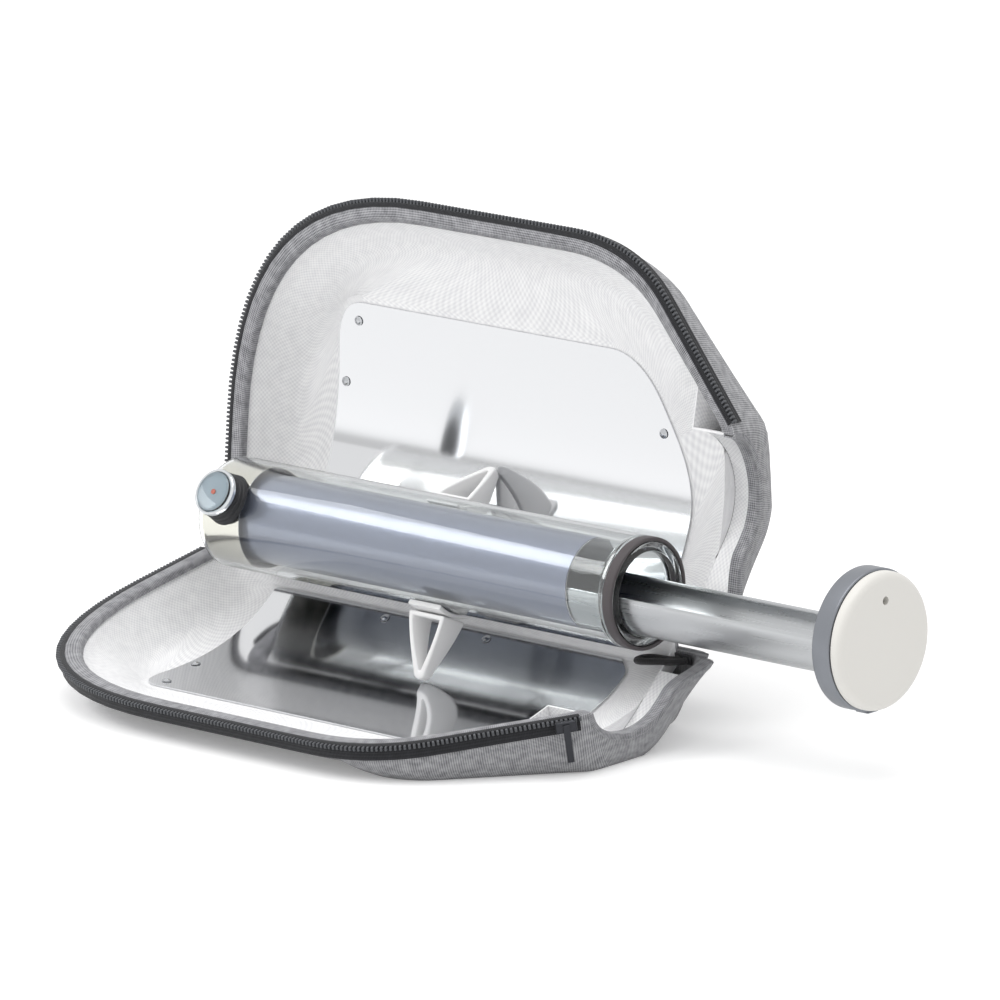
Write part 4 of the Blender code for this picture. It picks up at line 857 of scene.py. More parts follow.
    def lining_rings(self, columns: int) -> list:
        """Return the rows of the formed lining, from the rim band to under the mirror."""
        top = self.rim_level + self.band_height + FIT
        behind = self.mirror_sheet + FIT
        foot = self.back + self.shell_wall + FIT + self.lining_wall
        shares = even_shares(self.rim(0.0145, foot), columns)
        stages = []
        for inset, front_share, wall_share in ((0.0075, 0.0, 0.0), (0.0145, 0.24, 0.45),
                                               (0.0255, 0.56, 0.86)):
            loop = self.rim(inset, foot)
            ring = []
            for share in shares:
                spot = on_loop(loop, share)
                sunk = wall_share + (front_share - wall_share) * ramp(spot.y, 0.095, 0.155)
                goal = self.mirror_depth(spot.y) + behind
                ring.append(Vector((spot.x, spot.y, top + (goal - top) * sunk)))
            stages.append(ring)
        shelf = []
        for share in shares:
            spot = on_loop(self.mirror_edge(-0.002), share)
            point = self.on_parabola(spot.x, spot.y, behind)
            point.y = max(point.y, foot + 0.0008)
            shelf.append(point)
        stages.append(shelf)
        columns_of_points = [catmull([ring[i] for ring in stages], 7) for i in range(columns + 1)]
        rings = [list(row) for row in zip(*columns_of_points)]
        for inset in (0.0, 0.007):
            loop = self.mirror_edge(inset - 0.0004)
            rings.append([self.on_parabola(*on_loop(loop, share), behind) for share in shares])
        return rings

    def lining(self) -> None:
        """Make the white formed lining and the wall that closes it at the recess."""
        columns = self.lining_columns
        rings = self.lining_rings(columns)
        piece = lay(self.word + "_lining_cloth", rings, (length_of(rings[4]), 0.055))
        face(piece, (-0.13, 0.08, 0.01))
        modify(piece, "SOLIDIFY", thickness=self.lining_wall, offset=1, use_even_offset=False)
        path = self.notch_path(self.notch_radius + self.lip_wall + FIT)
        whole = [Vector((path[0].x, 0.1)), Vector((-0.05, 0.1)), Vector((-0.05, -0.05)),
                 Vector((path[0].x, -0.05))]
        self.cut_end(piece, whole, self.notch_start, self.bulge + 0.05)
        dress(piece, self.seat, "lining", self.word + "_lining")
        path = self.notch_path(self.notch_radius)
        drift = REST_SPOT - Vector((FOLDED_S, 0.0))
        path += [path[-1] + drift * t / 12 for t in range(1, 10)]
        near, far = [], []
        for i in range(columns + 1):
            for a, b in zip(rings, rings[1:]):
                if a[i].x > self.notch_start >= b[i].x:
                    share = (a[i].x - self.notch_start) / (a[i].x - b[i].x)
                    spot = a[i].lerp(b[i], share)
                    goal = min(path, key=lambda p: (p - spot.yz).length)
                    near.append(Vector((self.notch_start - 0.0002, spot.y, spot.z)))
                    far.append(Vector((self.notch_start - 0.0002, goal.x, goal.y)))
                    break
        rows = [[a.lerp(b, t) for a, b in zip(near, far)] for t in (0.0, 0.34, 0.67, 1.0)]
        wall = lay(self.word + "_recess_wall", rows, (0.1, 0.02))
        modify(wall, "SOLIDIFY", thickness=0.0006, offset=0)
        dress(closed(wall), self.seat, "lining")

    def binding(self) -> None:
        """Make the woven band on the rim, rolled at its inner edge."""
        low = self.rim_level
        shape = ((0.0004, low + 0.0014), (0.0009, low + 0.0005), (0.0022, low), (0.0048, low - 0.0002),
                 (0.0074, low + 0.0001), (0.0088, low + 0.0007), (0.0095, low + 0.0018),
                 (0.0097, low + 0.0034))
        shares = even_shares(self.rim(), self.rim_columns)
        rings = []
        for inset, depth in shape:
            loop = self.rim(inset, self.back + inset * 0.42)
            rings.append([Vector((*on_loop(loop, share), depth)) for share in shares])
        piece = lay(self.word + "_rim_cloth", rings, (length_of(self.rim() + self.rim()[:1]), 0.016))
        face(piece, (-0.13, 0.08, -0.5), away=False)
        modify(piece, "SOLIDIFY", thickness=0.0011, offset=-1, use_even_offset=False)
        self.cut_recess(piece)
        dress(piece, self.seat, "binding", self.word + "_rim_binding")

    def recess(self) -> None:
        """Make the recess's white liner, its end wall and the woven trim of its lip."""
        path = self.notch_path(self.notch_radius)[1:]
        drift = REST_SPOT - Vector((FOLDED_S, 0.0))
        path += [path[-1] + drift * 0.60 * k / 8 for k in range(1, 9)]
        rings = [[Vector((self.notch_start + FIT + (self.lip_start - self.notch_start - 2 * FIT) * k / 4,
                          *spot)) for k in range(5)] for spot in path]
        liner = lay(self.word + "_recess_liner", rings, (0.020, length_of(path)))
        face(liner, (0.010, FOLDED_S, 0.0), away=False)
        modify(liner, "SOLIDIFY", thickness=0.0010, offset=-1, use_even_offset=False)
        dress(liner, self.seat, "lining", self.word + "_neck_liner")
        centre = Vector((FOLDED_S, 0.0))
        away = (centre - REST_SPOT).normalized()
        across = Vector((-away.y, away.x))
        rows = [[], []]
        for top in self.lip_path(self.lip_wall + FIT)[6:]:
            way = (top - centre).normalized()
            reach = self.notch_radius + self.lining_wall
            if way.dot(away) < 0:
                reach /= way.dot(across)
            rows[0].append(Vector((self.lip_start + self.neck_wall / 2, *top)))
            rows[1].append(Vector((self.lip_start + self.neck_wall / 2, *(centre + way * reach))))
        wall = lay(self.word + "_neck_wall", [[a.lerp(b, k / 3) for a, b in zip(*rows)]
                                              for k in range(4)], (0.12, 0.015))
        modify(wall, "SOLIDIFY", thickness=self.neck_wall, offset=0)
        dress(closed(wall), self.seat, "lining", self.word + "_neck_end")
        rings = []
        lines = [self.lip_path(offset) for offset in (0.0012, 0.0002, 0.0, 0.0) + self.hem_offsets]
        for i in range(1, len(lines[0])):
            edge, roll, hem = (row[i] + 0.0004 for row in self.lip_edge)
            places = (self.lip_start + 0.0002, self.lip_start + 0.0003, self.lip_start + 0.0014,
                      edge - 0.0016, edge - 0.0001, roll, hem)
            rings.append([Vector((x, *line[i])) for x, line in zip(places, lines)])
        trim = lay(self.word + "_recess_trim", rings, (0.024, length_of([r[2] for r in rings])))
        face(trim, (0.028, FOLDED_S, 0.0), away=False)
        modify(trim, "SOLIDIFY", thickness=0.0009, offset=-1, use_even_offset=False)
        dress(trim, self.seat, "binding", self.word + "_neck_trim")

    def mirror(self) -> None:
        """Make the parabolic trough mirror and its rivets."""
        loop = self.mirror_edge()
        rows = 120
        rings = []
        for j in range(rows + 1):
            t = j / rows
            q = self.mirror_inner + (self.mirror_outer - self.mirror_inner) * (
                0.5 - 0.5 * math.cos(t * math.pi))
            q = min(max(q, self.mirror_inner + 0.00002), self.mirror_outer - 0.00002)
            found = []
            for a, b in zip(loop, loop[1:] + loop[:1]):
                if (a.y - q) * (b.y - q) <= 0 and a.y != b.y:
                    found.append(a.x + (b.x - a.x) * (q - a.y) / (b.y - a.y))
            first, last = min(found), max(found)
            rings.append([self.on_parabola(first + (last - first) * k / 24, q)
                          for k in range(25)])
        piece = lay(self.word + "_mirror_sheet", rings)
        face(piece, (-0.13, 0.10, -0.05), away=False)
        modify(piece, "SOLIDIFY", thickness=self.mirror_sheet, offset=-1)
        dress(piece, self.seat, "mirror", self.word + "_mirror")
        for number, (x, q) in enumerate(self.rivets, 1):
            seat = self.on_parabola(x, q, -FIT)
            out = (seat - self.on_parabola(x, q, 0.010)).normalized()
            head = spun(f"{self.word}_rivet_head_{number}",
                        [(0, 0.0011), (0.0007, 0.00104), (0.0013, 0.0008), (0.0017, 0.0005),
                         (0.0019, 0.0004), (0.0025, 0.0003), (0.0026, 0.0), (0, 0.0)], 24)
            turn = out.to_track_quat("X", "Z").to_matrix().to_4x4()
            head.data.transform(Matrix.Translation(seat) @ turn)
            dress(head, self.seat, "steel", f"{self.word}_rivet_{number}")

    def zip_route(self, step: float) -> tuple:
        """Return evenly spaced points of the zip along the rim, and the way out at each.

        Args:
            step: The space between the points.

        Returns:
            The points and the outward directions, in (x, s).
        """
        loop = self.rim()
        kept = [p for p in loop if p.y > 0.016 and not (p.x > -0.02 and p.y < 0.108)]
        lengths = [0.0]
        for a, b in zip(kept, kept[1:]):
            lengths.append(lengths[-1] + (b - a).length)
        count = int(lengths[-1] / step)
        points = []
        k = 0
        for i in range(count + 1):
            goal = lengths[-1] * i / count
            while k < len(kept) - 2 and lengths[k + 1] < goal:
                k += 1
            points.append(kept[k].lerp(kept[k + 1], (goal - lengths[k]) / (lengths[k + 1] - lengths[k])))
        ways = []
        for i in range(count + 1):
            ahead = (points[min(i + 1, count)] - points[max(i - 1, 0)]).normalized()
            ways.append(Vector((-ahead.y, ahead.x)))
        middle = points[count // 2]
        if (middle + ways[count // 2] * 0.01).y < middle.y:
            ways = [-way for way in ways]
        return points, ways

    def zip_chain(self) -> None:
        """Make the zip's tape and its row of teeth."""
        points, ways = self.zip_route(0.004)
        rings = []
        for spot, way in zip(points, ways):
            over = 0.0018 + 0.0026 * ramp(spot.x, -0.10, -0.03)
            level = self.rim_level
            shape = ((-over, level + 0.0008), (-over + 0.0003, level + 0.0001), (0.0002, level - 0.0001),
                     (0.0010, level + 0.0004), (0.0013, level + 0.0016), (0.0014, level + 0.004),
                     (0.0013, self.tape_height - 0.0004), (0.0009, self.tape_height))
            rings.append([Vector((*(spot + way * out), depth)) for out, depth in shape])
        tape = lay(self.word + "_zip_tape_cloth", rings, (0.012, 0.004 * len(points)))
        face(tape, (-0.13, 0.10, 0.01))
        modify(tape, "SOLIDIFY", thickness=0.0006, offset=-1, use_even_offset=False)
        dress(tape, self.seat, "tape", self.word + "_zip_tape")
        points, ways = self.zip_route(self.tooth_pitch)
        first = block("tooth", (0.0013, 0.0024, 0.0021), (0, 0, 0), 0.0004)
        choose(first)
        copies = []
        for spot, way in zip(points, ways):
            turn = math.atan2(way.y, way.x) - math.pi / 2
            copies.append(Matrix.Translation((*(spot + way * 0.0020), self.rim_level + 0.0013))
                          @ Matrix.Rotation(turn, 4, "Z"))
        made = []
        for place in copies:
            tooth = first.copy()
            tooth.data = first.data.copy()
            bpy.context.collection.objects.link(tooth)
            tooth.data.transform(place)
            made.append(tooth)
        bpy.ops.object.select_all(action="DESELECT")
        for tooth in made:
            tooth.select_set(True)
        bpy.context.view_layer.objects.active = made[0]
        bpy.ops.object.join()
        chain = bpy.context.object
        chain.name = self.word + "_zip_chain"
        chain.data.name = chain.name
        bpy.data.objects.remove(first)
        dress(chain, self.seat, "teeth", self.word + "_zip_teeth")

    def hinge_leaf(self) -> None:
        """Make the leaf of the cloth hinge, sewn to the shell's back wall."""
        first, last, height = self.leaf
        middle = self.back - FIT - 0.0007
        shape = [(-0.0007, 0.0014), (0.0007, 0.0014), (0.0007, height), (-0.0007, height)]
        loop = rounded(shape, 0.0006, closed_loop=True)
        rings = []
        for k in range(61):
            x = first + (last - first) * k / 60
            rings.append([Vector((x, middle + p.x, p.y)) for p in loop])
        ends = [[Vector((x, middle, height / 2))] * len(loop) for x in (first, last)]
        piece = lay(self.word + "_hinge_cloth", [ends[0]] + rings + [ends[1]], (0.034, last - first))
        dress(closed(piece), self.seat, "binding", self.word + "_hinge_leaf")

    def build(self) -> None:
        """Make every piece of this half."""
        self.shell()
        self.lining()
        self.binding()
        self.recess()
        self.mirror()
        self.zip_chain()
        self.hinge_leaf()


@dataclass
class ElasticLoop:
    """The elastic loop beside the hinge, and the plate that its ends are sewn to."""

    seat: Seat
    radius: float = 0.0018
    route: tuple = ((0.0085, 0.0085, 0.0125), (0.0079, 0.0105, 0.0126), (0.0040, 0.0130, 0.0126),
                    (-0.0020, 0.0150, 0.0126), (-0.0080, 0.0175, 0.0126), (-0.0135, 0.0185, 0.0130),
                    (-0.0175, 0.0165, 0.0138), (-0.0175, 0.0125, 0.0142), (-0.0135, 0.0102, 0.0140),
                    (-0.0080, 0.0102, 0.0135), (-0.0025, 0.0110, 0.0128), (0.0016, 0.0113, 0.0125),
                    (0.0034, 0.0102, 0.0125), (0.0036, 0.0085, 0.0125))

    def build(self) -> None:
        """Make the loop and its plate."""
        path = catmull([Vector(p) for p in self.route], 8)
        piece = tube_along("elastic_loop", path, self.radius)
        dress(piece, self.seat, "cord", "cord_loop")
        world = [self.seat.matrix() @ p for p in path]
        plate = block("loop_plate", (0.0105, 0.0011, 0.0054), (0.00605, 0.00765, 0.0125), 0.0004)
        dress(plate, self.seat, "rubber", "cord_anchor")


@dataclass
class ZipSlider:
    """The slider at the zip's end and its pull."""

    seat: Seat
    pull_seat: Seat
    end: tuple = (0.028, 0.105)
    far: tuple = (-0.046, 0.1895)

    def build(self) -> None:
        """Make the slider and the pull."""
        start, far = Vector(self.end), Vector(self.far)
        along = (far - start).normalized()
        out = Vector((along.y, -along.x))
        if out.x < 0:
            out = -out
        spot = start + along * 0.012 + out * (0.0037 + 0.0017)
        turn = math.atan2(along.y, along.x)
        body = block("slider_body", (0.011, 0.0034, 0.006), (spot.x, spot.y, 0.0034), 0.0011, turn)
        dress(body, self.seat, "zinc", "zip_slider")
        hang = spot + out * (0.0017 + FIT + 0.0006)
        pull = block("slider_pull", (0.0034, 0.0012, 0.020), (hang.x, hang.y, 0.0116), 0.0005, turn)
        dress(pull, self.pull_seat, "zinc", "zip_pull")


@dataclass
class VacuumTube:
    """The double-walled glass tube, with its coating, getter film, clip and mouth ring."""

    seat: Seat
    hinge_seat: Seat
    radius: float = 0.029
    wall: float = 0.0019
    end: float = -0.280
    dome: float = 0.012
    neck: float = 0.006
    ring_wall: float = 0.0022
    bore_radius: float = 0.0234
    bore_wall: float = 0.0016
    bore_end: float = -0.266
    bore_dome: float = 0.010
    coat_start: float = -0.0346
    film_start: float = -0.2557

    @staticmethod
    def arc(reach: float, radius: float, at: float, first: float, last: float, steps: int) -> list:
        """Return points of an ellipse arc as (radius, x), from angles in degrees."""
        return [Vector((radius * math.sin(math.radians(first + (last - first) * i / steps)),
                        at + reach * math.cos(math.radians(first + (last - first) * i / steps))))
                for i in range(steps + 1)]

    def build(self) -> None:
        """Make every piece of the tube."""
        inner = self.radius - self.wall
        lip = self.bore_radius + FIT
        end = -self.neck - FIT
        out = self.arc(self.dome, self.radius, self.end, 90, 180, 24)
        inside = self.arc(self.dome - self.wall, inner, self.end, 180, 90, 24)
        mouth = rounded([(inner, self.end), (inner, end - 0.003), (lip, end - 0.003), (lip, end),
                         (self.radius, end), (self.radius, self.end)], 0.0014)
        dress(spun("outer_glass_wall", inside[:-1] + mouth + out[1:], 128), self.seat, "glass",
              "outer_glass")
        bore = self.bore_radius - self.bore_wall
        cut = self.coat_start
        flange = self.radius - self.ring_wall - FIT
        neck = rounded([(bore, cut + 0.0001), (bore, -0.0004), (flange, -0.0004), (flange, -0.0030),
                        (self.bore_radius, -0.0050), (self.bore_radius, cut + 0.0001)], 0.0007,
                       closed_loop=True)
        dress(spun("clear_neck", neck, 128), self.seat, "glass", "absorber_tube")
        out = self.arc(self.bore_dome, self.bore_radius, self.bore_end, 90, 180, 20)
        inside = self.arc(self.bore_dome - self.bore_wall, bore, self.bore_end, 180, 90, 20)
        body = inside + [Vector((bore, cut)), Vector((self.bore_radius, cut))] + out
        dress(spun("coated_tube", body, 128), self.seat, "coating", "absorber_tube")
        film_out = inner - FIT
        film_in = film_out - 0.0005
        depth = self.dome - self.wall - FIT
        film = ([Vector((film_out, self.film_start))]
                + self.arc(depth, film_out, self.end, 90, 150, 16)
                + self.arc(depth - 0.0005, film_in, self.end, 150, 90, 16)
                + [Vector((film_in, self.film_start)), Vector((film_out, self.film_start))])
        dress(spun("getter_mirror", film, 128), self.seat, "silver", "getter_film")
        clip_in, clip_out = lip, film_in - FIT
        clip = rounded([(clip_in + 0.0007, -0.262), (clip_in + 0.0007, -0.2656), (clip_out, -0.271),
                        (clip_out - 0.0007, -0.271), (clip_in, -0.2656), (clip_in, -0.262)],
                       0.0004, closed_loop=True)
        dress(spun("clip_spring", clip, 96), self.seat, "steel", "spring_clip")
        ring = self.radius - self.ring_wall
        seal = rounded([(self.radius, 0.0), (self.radius, -self.neck), (ring, -self.neck),
                        (ring, 0.0)], 0.0009, closed_loop=True)
        dress(spun("mouth_ring", seal, 128), self.seat, "seal", "mouth_seal")
        bead = rounded([(0, -0.0035), (0.0016, -0.0035), (0.0016, -0.296), (0, -0.296)], 0.0008)
        dress(spun("hinge_roll_cloth", bead, 24), self.hinge_seat, "binding", "hinge_bead")


@dataclass
class SunSight:
    """The round sight on the tube's end that shows when the mirrors face the sun."""

    seat: Seat
    x: float = -0.266
    radius: float = 0.0125
    height: float = 0.0072

    def build(self) -> None:
        """Make the rubber base, bezel, dial, dot and lens."""
        seat_radius = 0.0293
        top = seat_radius + self.height
        steps = 64
        rows = 36
        rings = []
        for j in range(rows + 1):
            t = j / rows
            groove = 0.0008 * max(0.0, 1 - abs(t - 0.34) / 0.06) + 0.0008 * max(0.0, 1 - abs(t - 0.66) / 0.06)
            radius = self.radius - groove + 0.0012 * (1 - t) ** 2
            ring = []
            for i in range(steps + 1):
                a = math.tau * (i % steps) / steps
                across = radius * math.sin(a)
                floor = math.sqrt(seat_radius ** 2 - across ** 2)
                ring.append(Vector((self.x + radius * math.cos(a), floor + (top - floor) * t, across)))
            rings.append(ring)
        rings.append([Vector((self.x, top, 0))] * (steps + 1))
        under = []
        for i in range(steps + 1):
            across = self.radius * 0.5 * math.sin(math.tau * (i % steps) / steps)
            under.append(Vector((self.x + self.radius * 0.5 * math.cos(math.tau * (i % steps) / steps),
                                 math.sqrt(seat_radius ** 2 - across ** 2), across)))
        rings.insert(0, under)
        rings.insert(0, [Vector((self.x, seat_radius, 0))] * (steps + 1))
        dress(closed(lay("sight_foot", rings)), self.seat, "rubber", "sight_base", angle=30)
        low = top + FIT
        wall = 0.0016
        bezel = rounded([(0, low + 0.0008), (self.radius - wall, low + 0.0008),
                         (self.radius - wall, low + 0.0030), (self.radius, low + 0.0026),
                         (self.radius, low), (0, low)], 0.0006)
        dress(spun("sight_rim", bezel, 64, self.x), self.seat, "chrome", "sight_bezel")
        dial = self.radius - wall - FIT
        low += 0.0008 + FIT
        dress(spun("sight_face", [(0, low + 0.0005), (dial, low + 0.0005), (dial, low), (0, low)],
                   64, self.x), self.seat, "dial", "sight_dial")
        low += 0.0005 + FIT
        mark = spun("sight_mark", [(0, low + 0.0003), (0.0013, low + 0.0003), (0.0013, low), (0, low)],
                    24, self.x)
        dress(mark, self.seat, "red", "sight_dot")
        low += 0.0003 + FIT
        crown = [(dial * math.sin(math.radians(a)), low + 0.0006 + 0.0022 * math.cos(math.radians(a)))
                 for a in range(0, 91, 6)]
        dress(spun("sight_glass", crown + [(dial, low), (0, low)], 64, self.x), self.seat, "glass",
              "sight_lens")


@dataclass
class Foot:
    """One foot: a pad round the glass, and a hollow fin that stands on a mirror."""

    word: str
    seat: Seat
    x: float
    width: float = 0.024
    depth: float = 0.017
    tip_width: float = 0.008
    tip_depth: float = 0.005
    wall: float = 0.003
    reach: float = 0.0659

    def build(self) -> None:
        """Make the pad and the fin."""
        pad_in, pad_out = 0.0293, 0.0319
        span = math.radians(44)
        rings = []
        steps = 20
        for i in range(steps + 1):
            a = span * (i / steps - 0.5)
            loop = rounded([(pad_in, -0.01075), (pad_out, -0.01075), (pad_out, 0.01075),
                            (pad_in, 0.01075)], 0.0008, closed_loop=True)
            rings.append([Vector((self.x + p.y, p.x * math.cos(a), p.x * math.sin(a))) for p in loop])
        middle = (pad_in + pad_out) / 2
        ends = [[Vector((self.x, middle * math.cos(a), middle * math.sin(a)))] * len(rings[0])
                for a in (-span / 2, span / 2)]
        pad = closed(lay(self.word + "_pad_skin", [ends[0]] + rings + [ends[1]]))
        dress(pad, self.seat, "nylon", self.word + "_foot_pad")
        root = pad_out + FIT
        height = self.reach - root
        half, tip = self.width / 2, self.tip_width / 2
        outer, hole = [Vector((0, root))], [Vector((0, root + self.wall * 0.8))]
        steps = 14
        for i in range(steps + 1):
            t = i / steps
            outer.append(Vector((half + (tip - half) * t ** 1.35, root + (height - tip) * t)))
            inside = (half - self.wall) + (0.001 - half + self.wall) * t ** 1.35
            hole.append(Vector((inside, root + self.wall * 0.8 + height * 0.80 * t
                                - self.wall * 0.4 * t)))
        for i in range(1, 6):
            a = math.radians(90 * i / 6)
            outer.append(Vector((tip * math.cos(a), root + height - tip + tip * math.sin(a))))
            hole.append(Vector((0.001 * math.cos(a), hole[steps + 1].y + 0.001 * math.sin(a))))
        outer.append(Vector((0, root + height)))
        hole.append(Vector((0, hole[steps + 1].y + 0.001)))
        loops = []
        for line in (outer, hole):
            loops.append(line + [Vector((-p.x, p.y)) for p in reversed(line[:-1])])
        rings = []
        for line, sign in ((loops[0], -1), (loops[0], 1), (loops[1], 1), (loops[1], -1),
                           (loops[0], -1)):
            ring = []
            for p in line:
                t = max(0.0, (p.y - root) / height)
                deep = self.depth + (self.tip_depth - self.depth) * t ** 1.2
                ring.append(Vector((self.x + p.x, p.y, sign * deep / 2)))
            rings.append(ring)
        fin = closed(lay(self.word + "_fin", rings))
        modify(fin, "BEVEL", width=0.0009, segments=3, limit_method="ANGLE",
               angle_limit=math.radians(40))
        dress(fin, self.seat, "nylon", self.word + "_foot")


@dataclass
class CookingTray:
    """The pull-out tray with its stopper, gasket and cap."""

    seat: Seat
    drawn: float = 0.136
    radius: float = 0.0212
    sheet: float = 0.0009
    length: float = 0.256
    lip: float = 0.0022
    stopper_radius: float = 0.0214
    stopper_length: float = 0.0060
    cap_radius: float = 0.036
    cap_length: float = 0.0108
    disc_radius: float = 0.0350
    disc_thickness: float = 0.0066

    def build(self) -> None:
        """Make every piece of the tray and cap."""
        cap_back = self.drawn + 2 * FIT + 0.0008
        stopper_back = cap_back - FIT - self.stopper_length
        tray_end = stopper_back - FIT
        self.trough(tray_end - self.length, tray_end)
        stopper = rounded([(0, cap_back - FIT), (self.stopper_radius, cap_back - FIT),
                           (self.stopper_radius, stopper_back), (0, stopper_back)], 0.0012)
        dress(spun("stopper_plug", stopper), self.seat, "seal", "tray_stopper")
        for word, y in (("left", -0.009), ("right", 0.009)):
            head = spun("screw_head_" + word, [(0, -0.0012), (0.0004, -0.0012), (0.0006, -0.0009),
                                               (0.0009, -0.0012), (0.0019, -0.0010), (0.0022, -0.0004),
                                               (0.0022, 0), (0, 0)], 24)
            head.data.transform(Matrix.Translation((stopper_back - FIT, y, 0.0072)))
            dress(head, self.seat, "steel", "stopper_screw_" + word)
        gasket = rounded([(0.0285, self.drawn + FIT + 0.0008), (0.0285, self.drawn + FIT),
                          (self.stopper_radius + FIT, self.drawn + FIT),
                          (self.stopper_radius + FIT, self.drawn + FIT + 0.0008)], 0.0003,
                         closed_loop=True)
        dress(spun("gasket_ring", gasket), self.seat, "rubber", "cap_gasket")
        front = cap_back + self.cap_length
        inside = self.cap_radius - 0.0024
        ring = rounded([(0, cap_back + 0.0026), (inside, cap_back + 0.0026), (inside, front),
                        (self.cap_radius, front), (self.cap_radius, cap_back), (0, cap_back)],
                       0.0009)
        dress(spun("cap_ring_metal", ring, 160), self.seat, "cap", "cap_ring")
        seat = front + FIT
        face_x = seat + self.disc_thickness
        soft = 0.0042
        spigot = inside - FIT
        edge = [(self.disc_radius - soft + soft * math.sin(math.radians(a)),
                 face_x - soft + soft * math.cos(math.radians(a))) for a in range(6, 91, 6)]
        disc = spun("cap_disc_face", [(0, face_x)] + [(r, face_x) for r in (0.010, 0.020, 0.0308)]
                    + edge + [(self.disc_radius, seat + 0.0004), (self.disc_radius - 0.0004, seat),
                              (spigot, seat), (spigot, seat - 0.003), (0, seat - 0.003)], 160)
        bpy.ops.object.select_all(action="DESELECT")
        bpy.ops.mesh.primitive_cylinder_add(vertices=32, radius=0.0022, depth=0.06)
        drill = bpy.context.object
        drill.data.transform(Matrix.Translation((face_x, 0, 0.021)) @ Matrix.Rotation(math.pi / 2, 4, "Y"))
        modify(disc, "BOOLEAN", object=drill, operation="DIFFERENCE", solver="EXACT")
        bpy.data.objects.remove(drill)
        dress(disc, self.seat, "disc", "cap_disc", angle=30)
        tab = block("cap_tab", (0.008, 0.008, 0.0009),
                    (cap_back + self.cap_length / 2, 0, -(self.cap_radius + FIT + 0.00045)), 0.0003)
        dress(tab, self.seat, "cap", "release_tab")

    def trough(self, start: float, end: float) -> None:
        """Make the half-round tray with its end wall.

        Args:
            start: The x of its inner end.
            end: The x where it meets the stopper.
        """
        inner = self.radius - self.sheet
        steps = 48
        turns = [math.pi + math.pi * i / steps for i in range(steps + 1)]
        outer_line = [Vector((self.radius * math.cos(a), self.radius * math.sin(a))) for a in turns]
        inner_line = [Vector((inner * math.cos(a), inner * math.sin(a))) for a in reversed(turns)]
        lip = [Vector((self.radius - 0.0001, self.lip - 0.0003)),
               Vector((self.radius - self.sheet / 2, self.lip)),
               Vector((inner + 0.0001, self.lip - 0.0003))]
        loop = outer_line + lip + inner_line + [Vector((-p.x, p.y)) for p in reversed(lip)]
        loop.append(loop[0])
        rings = [[Vector((x, p.x, p.y)) for p in loop] for x in (start, start + 0.1, start + 0.2, end)]
        body = lay("tray_sheet", rings, (0.14, end - start))
        edit(body, (bpy.ops.mesh.select_all, {"action": "DESELECT"}),
             (bpy.ops.mesh.select_non_manifold, {}), (bpy.ops.mesh.edge_face_add, {}))
        closed(body)
        dress(body, self.seat, "tray", "tray_trough", angle=50)
        plate = []
        for x in (start, start + 0.0011):
            plate.append([Vector((x, p.x * 0.99, p.y * 0.99)) for p in outer_line]
                         + [Vector((x, self.radius * 0.97, self.lip * 0.6)),
                            Vector((x, -self.radius * 0.97, self.lip * 0.6)),
                            Vector((x, outer_line[0].x * 0.99, 0))])
        ends = [[Vector((row[0].x, 0, -0.006))] * len(row) for row in plate]
        wall = closed(lay("tray_end_plate", [ends[0], plate[0], plate[1], ends[1]]))
        dress(wall, self.seat, "tray")


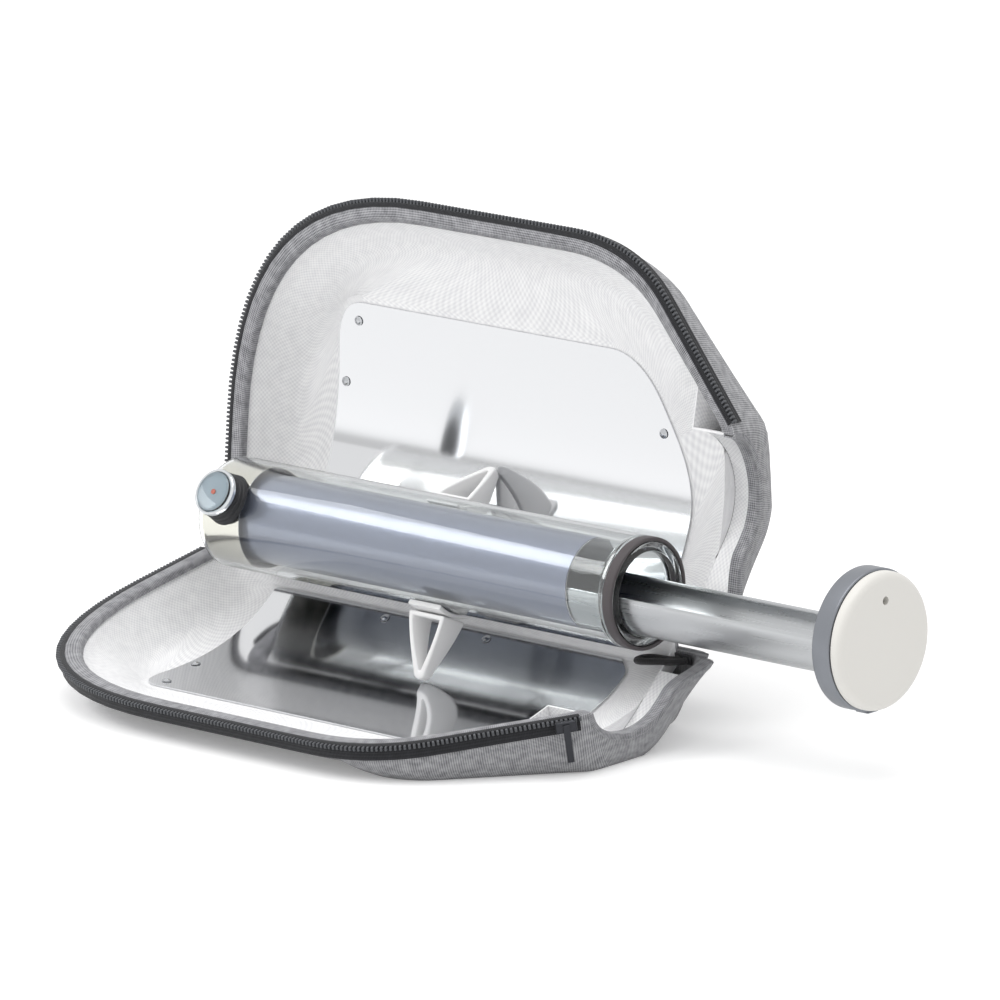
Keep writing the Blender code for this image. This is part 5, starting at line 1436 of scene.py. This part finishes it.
class Studio:
    """The floor, lamps, world and camera."""

    floor_glow = 0.22
    room_level = 0.82
    seen_level = 0.16

    def camera(self) -> None:
        """Set the camera where the photograph was taken from."""
        yaw, pitch, roll = 0.73062, 0.23858, -0.01199
        ahead = Vector((-math.sin(yaw) * math.cos(pitch), math.cos(yaw) * math.cos(pitch),
                        -math.sin(pitch)))
        right = Vector((math.cos(yaw), math.sin(yaw), 0))
        up = right.cross(ahead)
        across = right * math.cos(roll) + up * math.sin(roll)
        above = up * math.cos(roll) - right * math.sin(roll)
        data = bpy.data.cameras.new("camera")
        data.sensor_width = 36.0
        data.lens = 404.43
        data.shift_x = -0.0118
        data.shift_y = 0.0289
        camera = bpy.data.objects.new("camera", data)
        turn = Matrix((across, above, -ahead)).transposed().to_4x4()
        camera.matrix_world = Matrix.Translation((3.7484, -4.0730, 1.4388)) @ turn
        bpy.context.collection.objects.link(camera)
        bpy.context.scene.camera = camera

    def floor(self) -> None:
        """Lay the pale floor, which stays white where no shadow falls."""
        bpy.ops.object.select_all(action="DESELECT")
        bpy.ops.mesh.primitive_plane_add(size=40.0)
        floor = bpy.context.object
        floor.name = "floor"
        made = bpy.data.materials.new("Pale paper")
        made.use_nodes = True
        tree = made.node_tree
        shader = tree.nodes["Principled BSDF"]
        shader.inputs["Base Color"].default_value = linear("F2F2F2")
        shader.inputs["Roughness"].default_value = 1.0
        shader.inputs["Specular IOR Level"].default_value = 0.0
        seen = self.seen_rays(tree, "Is Transmission Ray")
        glow = add_node(tree, "ShaderNodeEmission", {"Color": (1, 1, 1, 1)})
        strength = add_node(tree, "ShaderNodeMath", {"operation": "MULTIPLY", 1: self.floor_glow}, {0: seen})
        tree.links.new(strength.outputs["Value"], glow.inputs["Strength"])
        both = add_node(tree, "ShaderNodeAddShader", links={0: shader.outputs["BSDF"],
                                                            1: glow.outputs["Emission"]})
        tree.links.new(both.outputs["Shader"], tree.nodes["Material Output"].inputs["Surface"])
        floor.data.materials.append(made)

    @staticmethod
    def seen_rays(tree, *kinds: str):
        """Return a socket that is 1 for what the camera sees and for other kinds of ray.

        Args:
            tree: The node tree.
            kinds: The Light Path outputs of the other kinds.

        Returns:
            The socket.
        """
        path = add_node(tree, "ShaderNodeLightPath")
        seen = path.outputs["Is Camera Ray"]
        for kind in kinds:
            either = add_node(tree, "ShaderNodeMath", {"operation": "MAXIMUM"},
                              {0: seen, 1: path.outputs[kind]})
            seen = either.outputs["Value"]
        return seen

    def world(self) -> None:
        """Light everything from a plain white room."""
        world = bpy.data.worlds.new("white_room")
        world.use_nodes = True
        bpy.context.scene.world = world
        tree = world.node_tree
        back = tree.nodes["Background"]
        back.inputs["Color"].default_value = (1, 1, 1, 1)
        level = add_node(tree, "ShaderNodeMath",
                         {"operation": "MULTIPLY_ADD", 1: self.seen_level, 2: self.room_level},
                         {0: self.seen_rays(tree, "Is Glossy Ray", "Is Transmission Ray")})
        tree.links.new(level.outputs["Value"], back.inputs["Strength"])

    def lamp(self, name: str, place: tuple, size: tuple, power: float, mirrored: bool) -> None:
        """Add one soft lamp.

        Args:
            name: Its name.
            place: Where it hangs.
            size: Its width and height.
            power: Its power in watts.
            mirrored: Whether it shows in the mirrors and the glass.
        """
        data = bpy.data.lights.new(name, "AREA")
        data.shape = "RECTANGLE"
        data.size, data.size_y = size
        data.energy = power
        lamp = bpy.data.objects.new(name, data)
        lamp.location = place
        aim = Vector((0, 0, 0.1)) - Vector(place)
        lamp.rotation_euler = aim.to_track_quat("-Z", "Y").to_euler()
        lamp.visible_glossy = mirrored
        bpy.context.collection.objects.link(lamp)

    def build(self) -> None:
        """Set up the whole studio."""
        bpy.context.scene.view_settings.view_transform = "Standard"
        self.floor()
        self.world()
        self.lamp("left_softbox", (-1.2, -1.0, 1.5), (1.6, 0.7), 15.0, False)
        self.lamp("top_softbox", (0.3, -0.2, 1.9), (1.8, 1.0), 13.0, True)


PAINT: dict = {}


def main() -> None:
    """Build the oven and its studio."""
    for key, finish in FINISHES.items():
        PAINT[key] = finish.make()
    studio = Studio()
    studio.camera()
    base = Seat("base", HINGE_POINT, BASE_TURN)
    lid = Seat("lid", HINGE_POINT, LID_TURN, -1)
    tube = Seat("tube", TUBE_CENTRE, TUBE_TURN)
    ElasticLoop(base).build()
    CaseHalf("lower", base).build()
    CaseHalf("upper", lid).build()
    ZipSlider(Seat("slider", HINGE_POINT, BASE_TURN), Seat("pull", HINGE_POINT, BASE_TURN)).build()
    VacuumTube(tube, Seat("hinge_core", HINGE_POINT, TUBE_TURN)).build()
    SunSight(Seat("tube", TUBE_CENTRE, TUBE_TURN + math.radians(13.5))).build()
    Foot("lower", Seat("lower_leg", TUBE_CENTRE, TUBE_TURN + math.radians(110.5)), -0.1325).build()
    Foot("upper", Seat("upper_leg", TUBE_CENTRE, TUBE_TURN - math.radians(110.5)), -0.1555).build()
    CookingTray(Seat("tray", TUBE_CENTRE, 0.0)).build()
    studio.build()


if __name__ == "__main__":
    main()
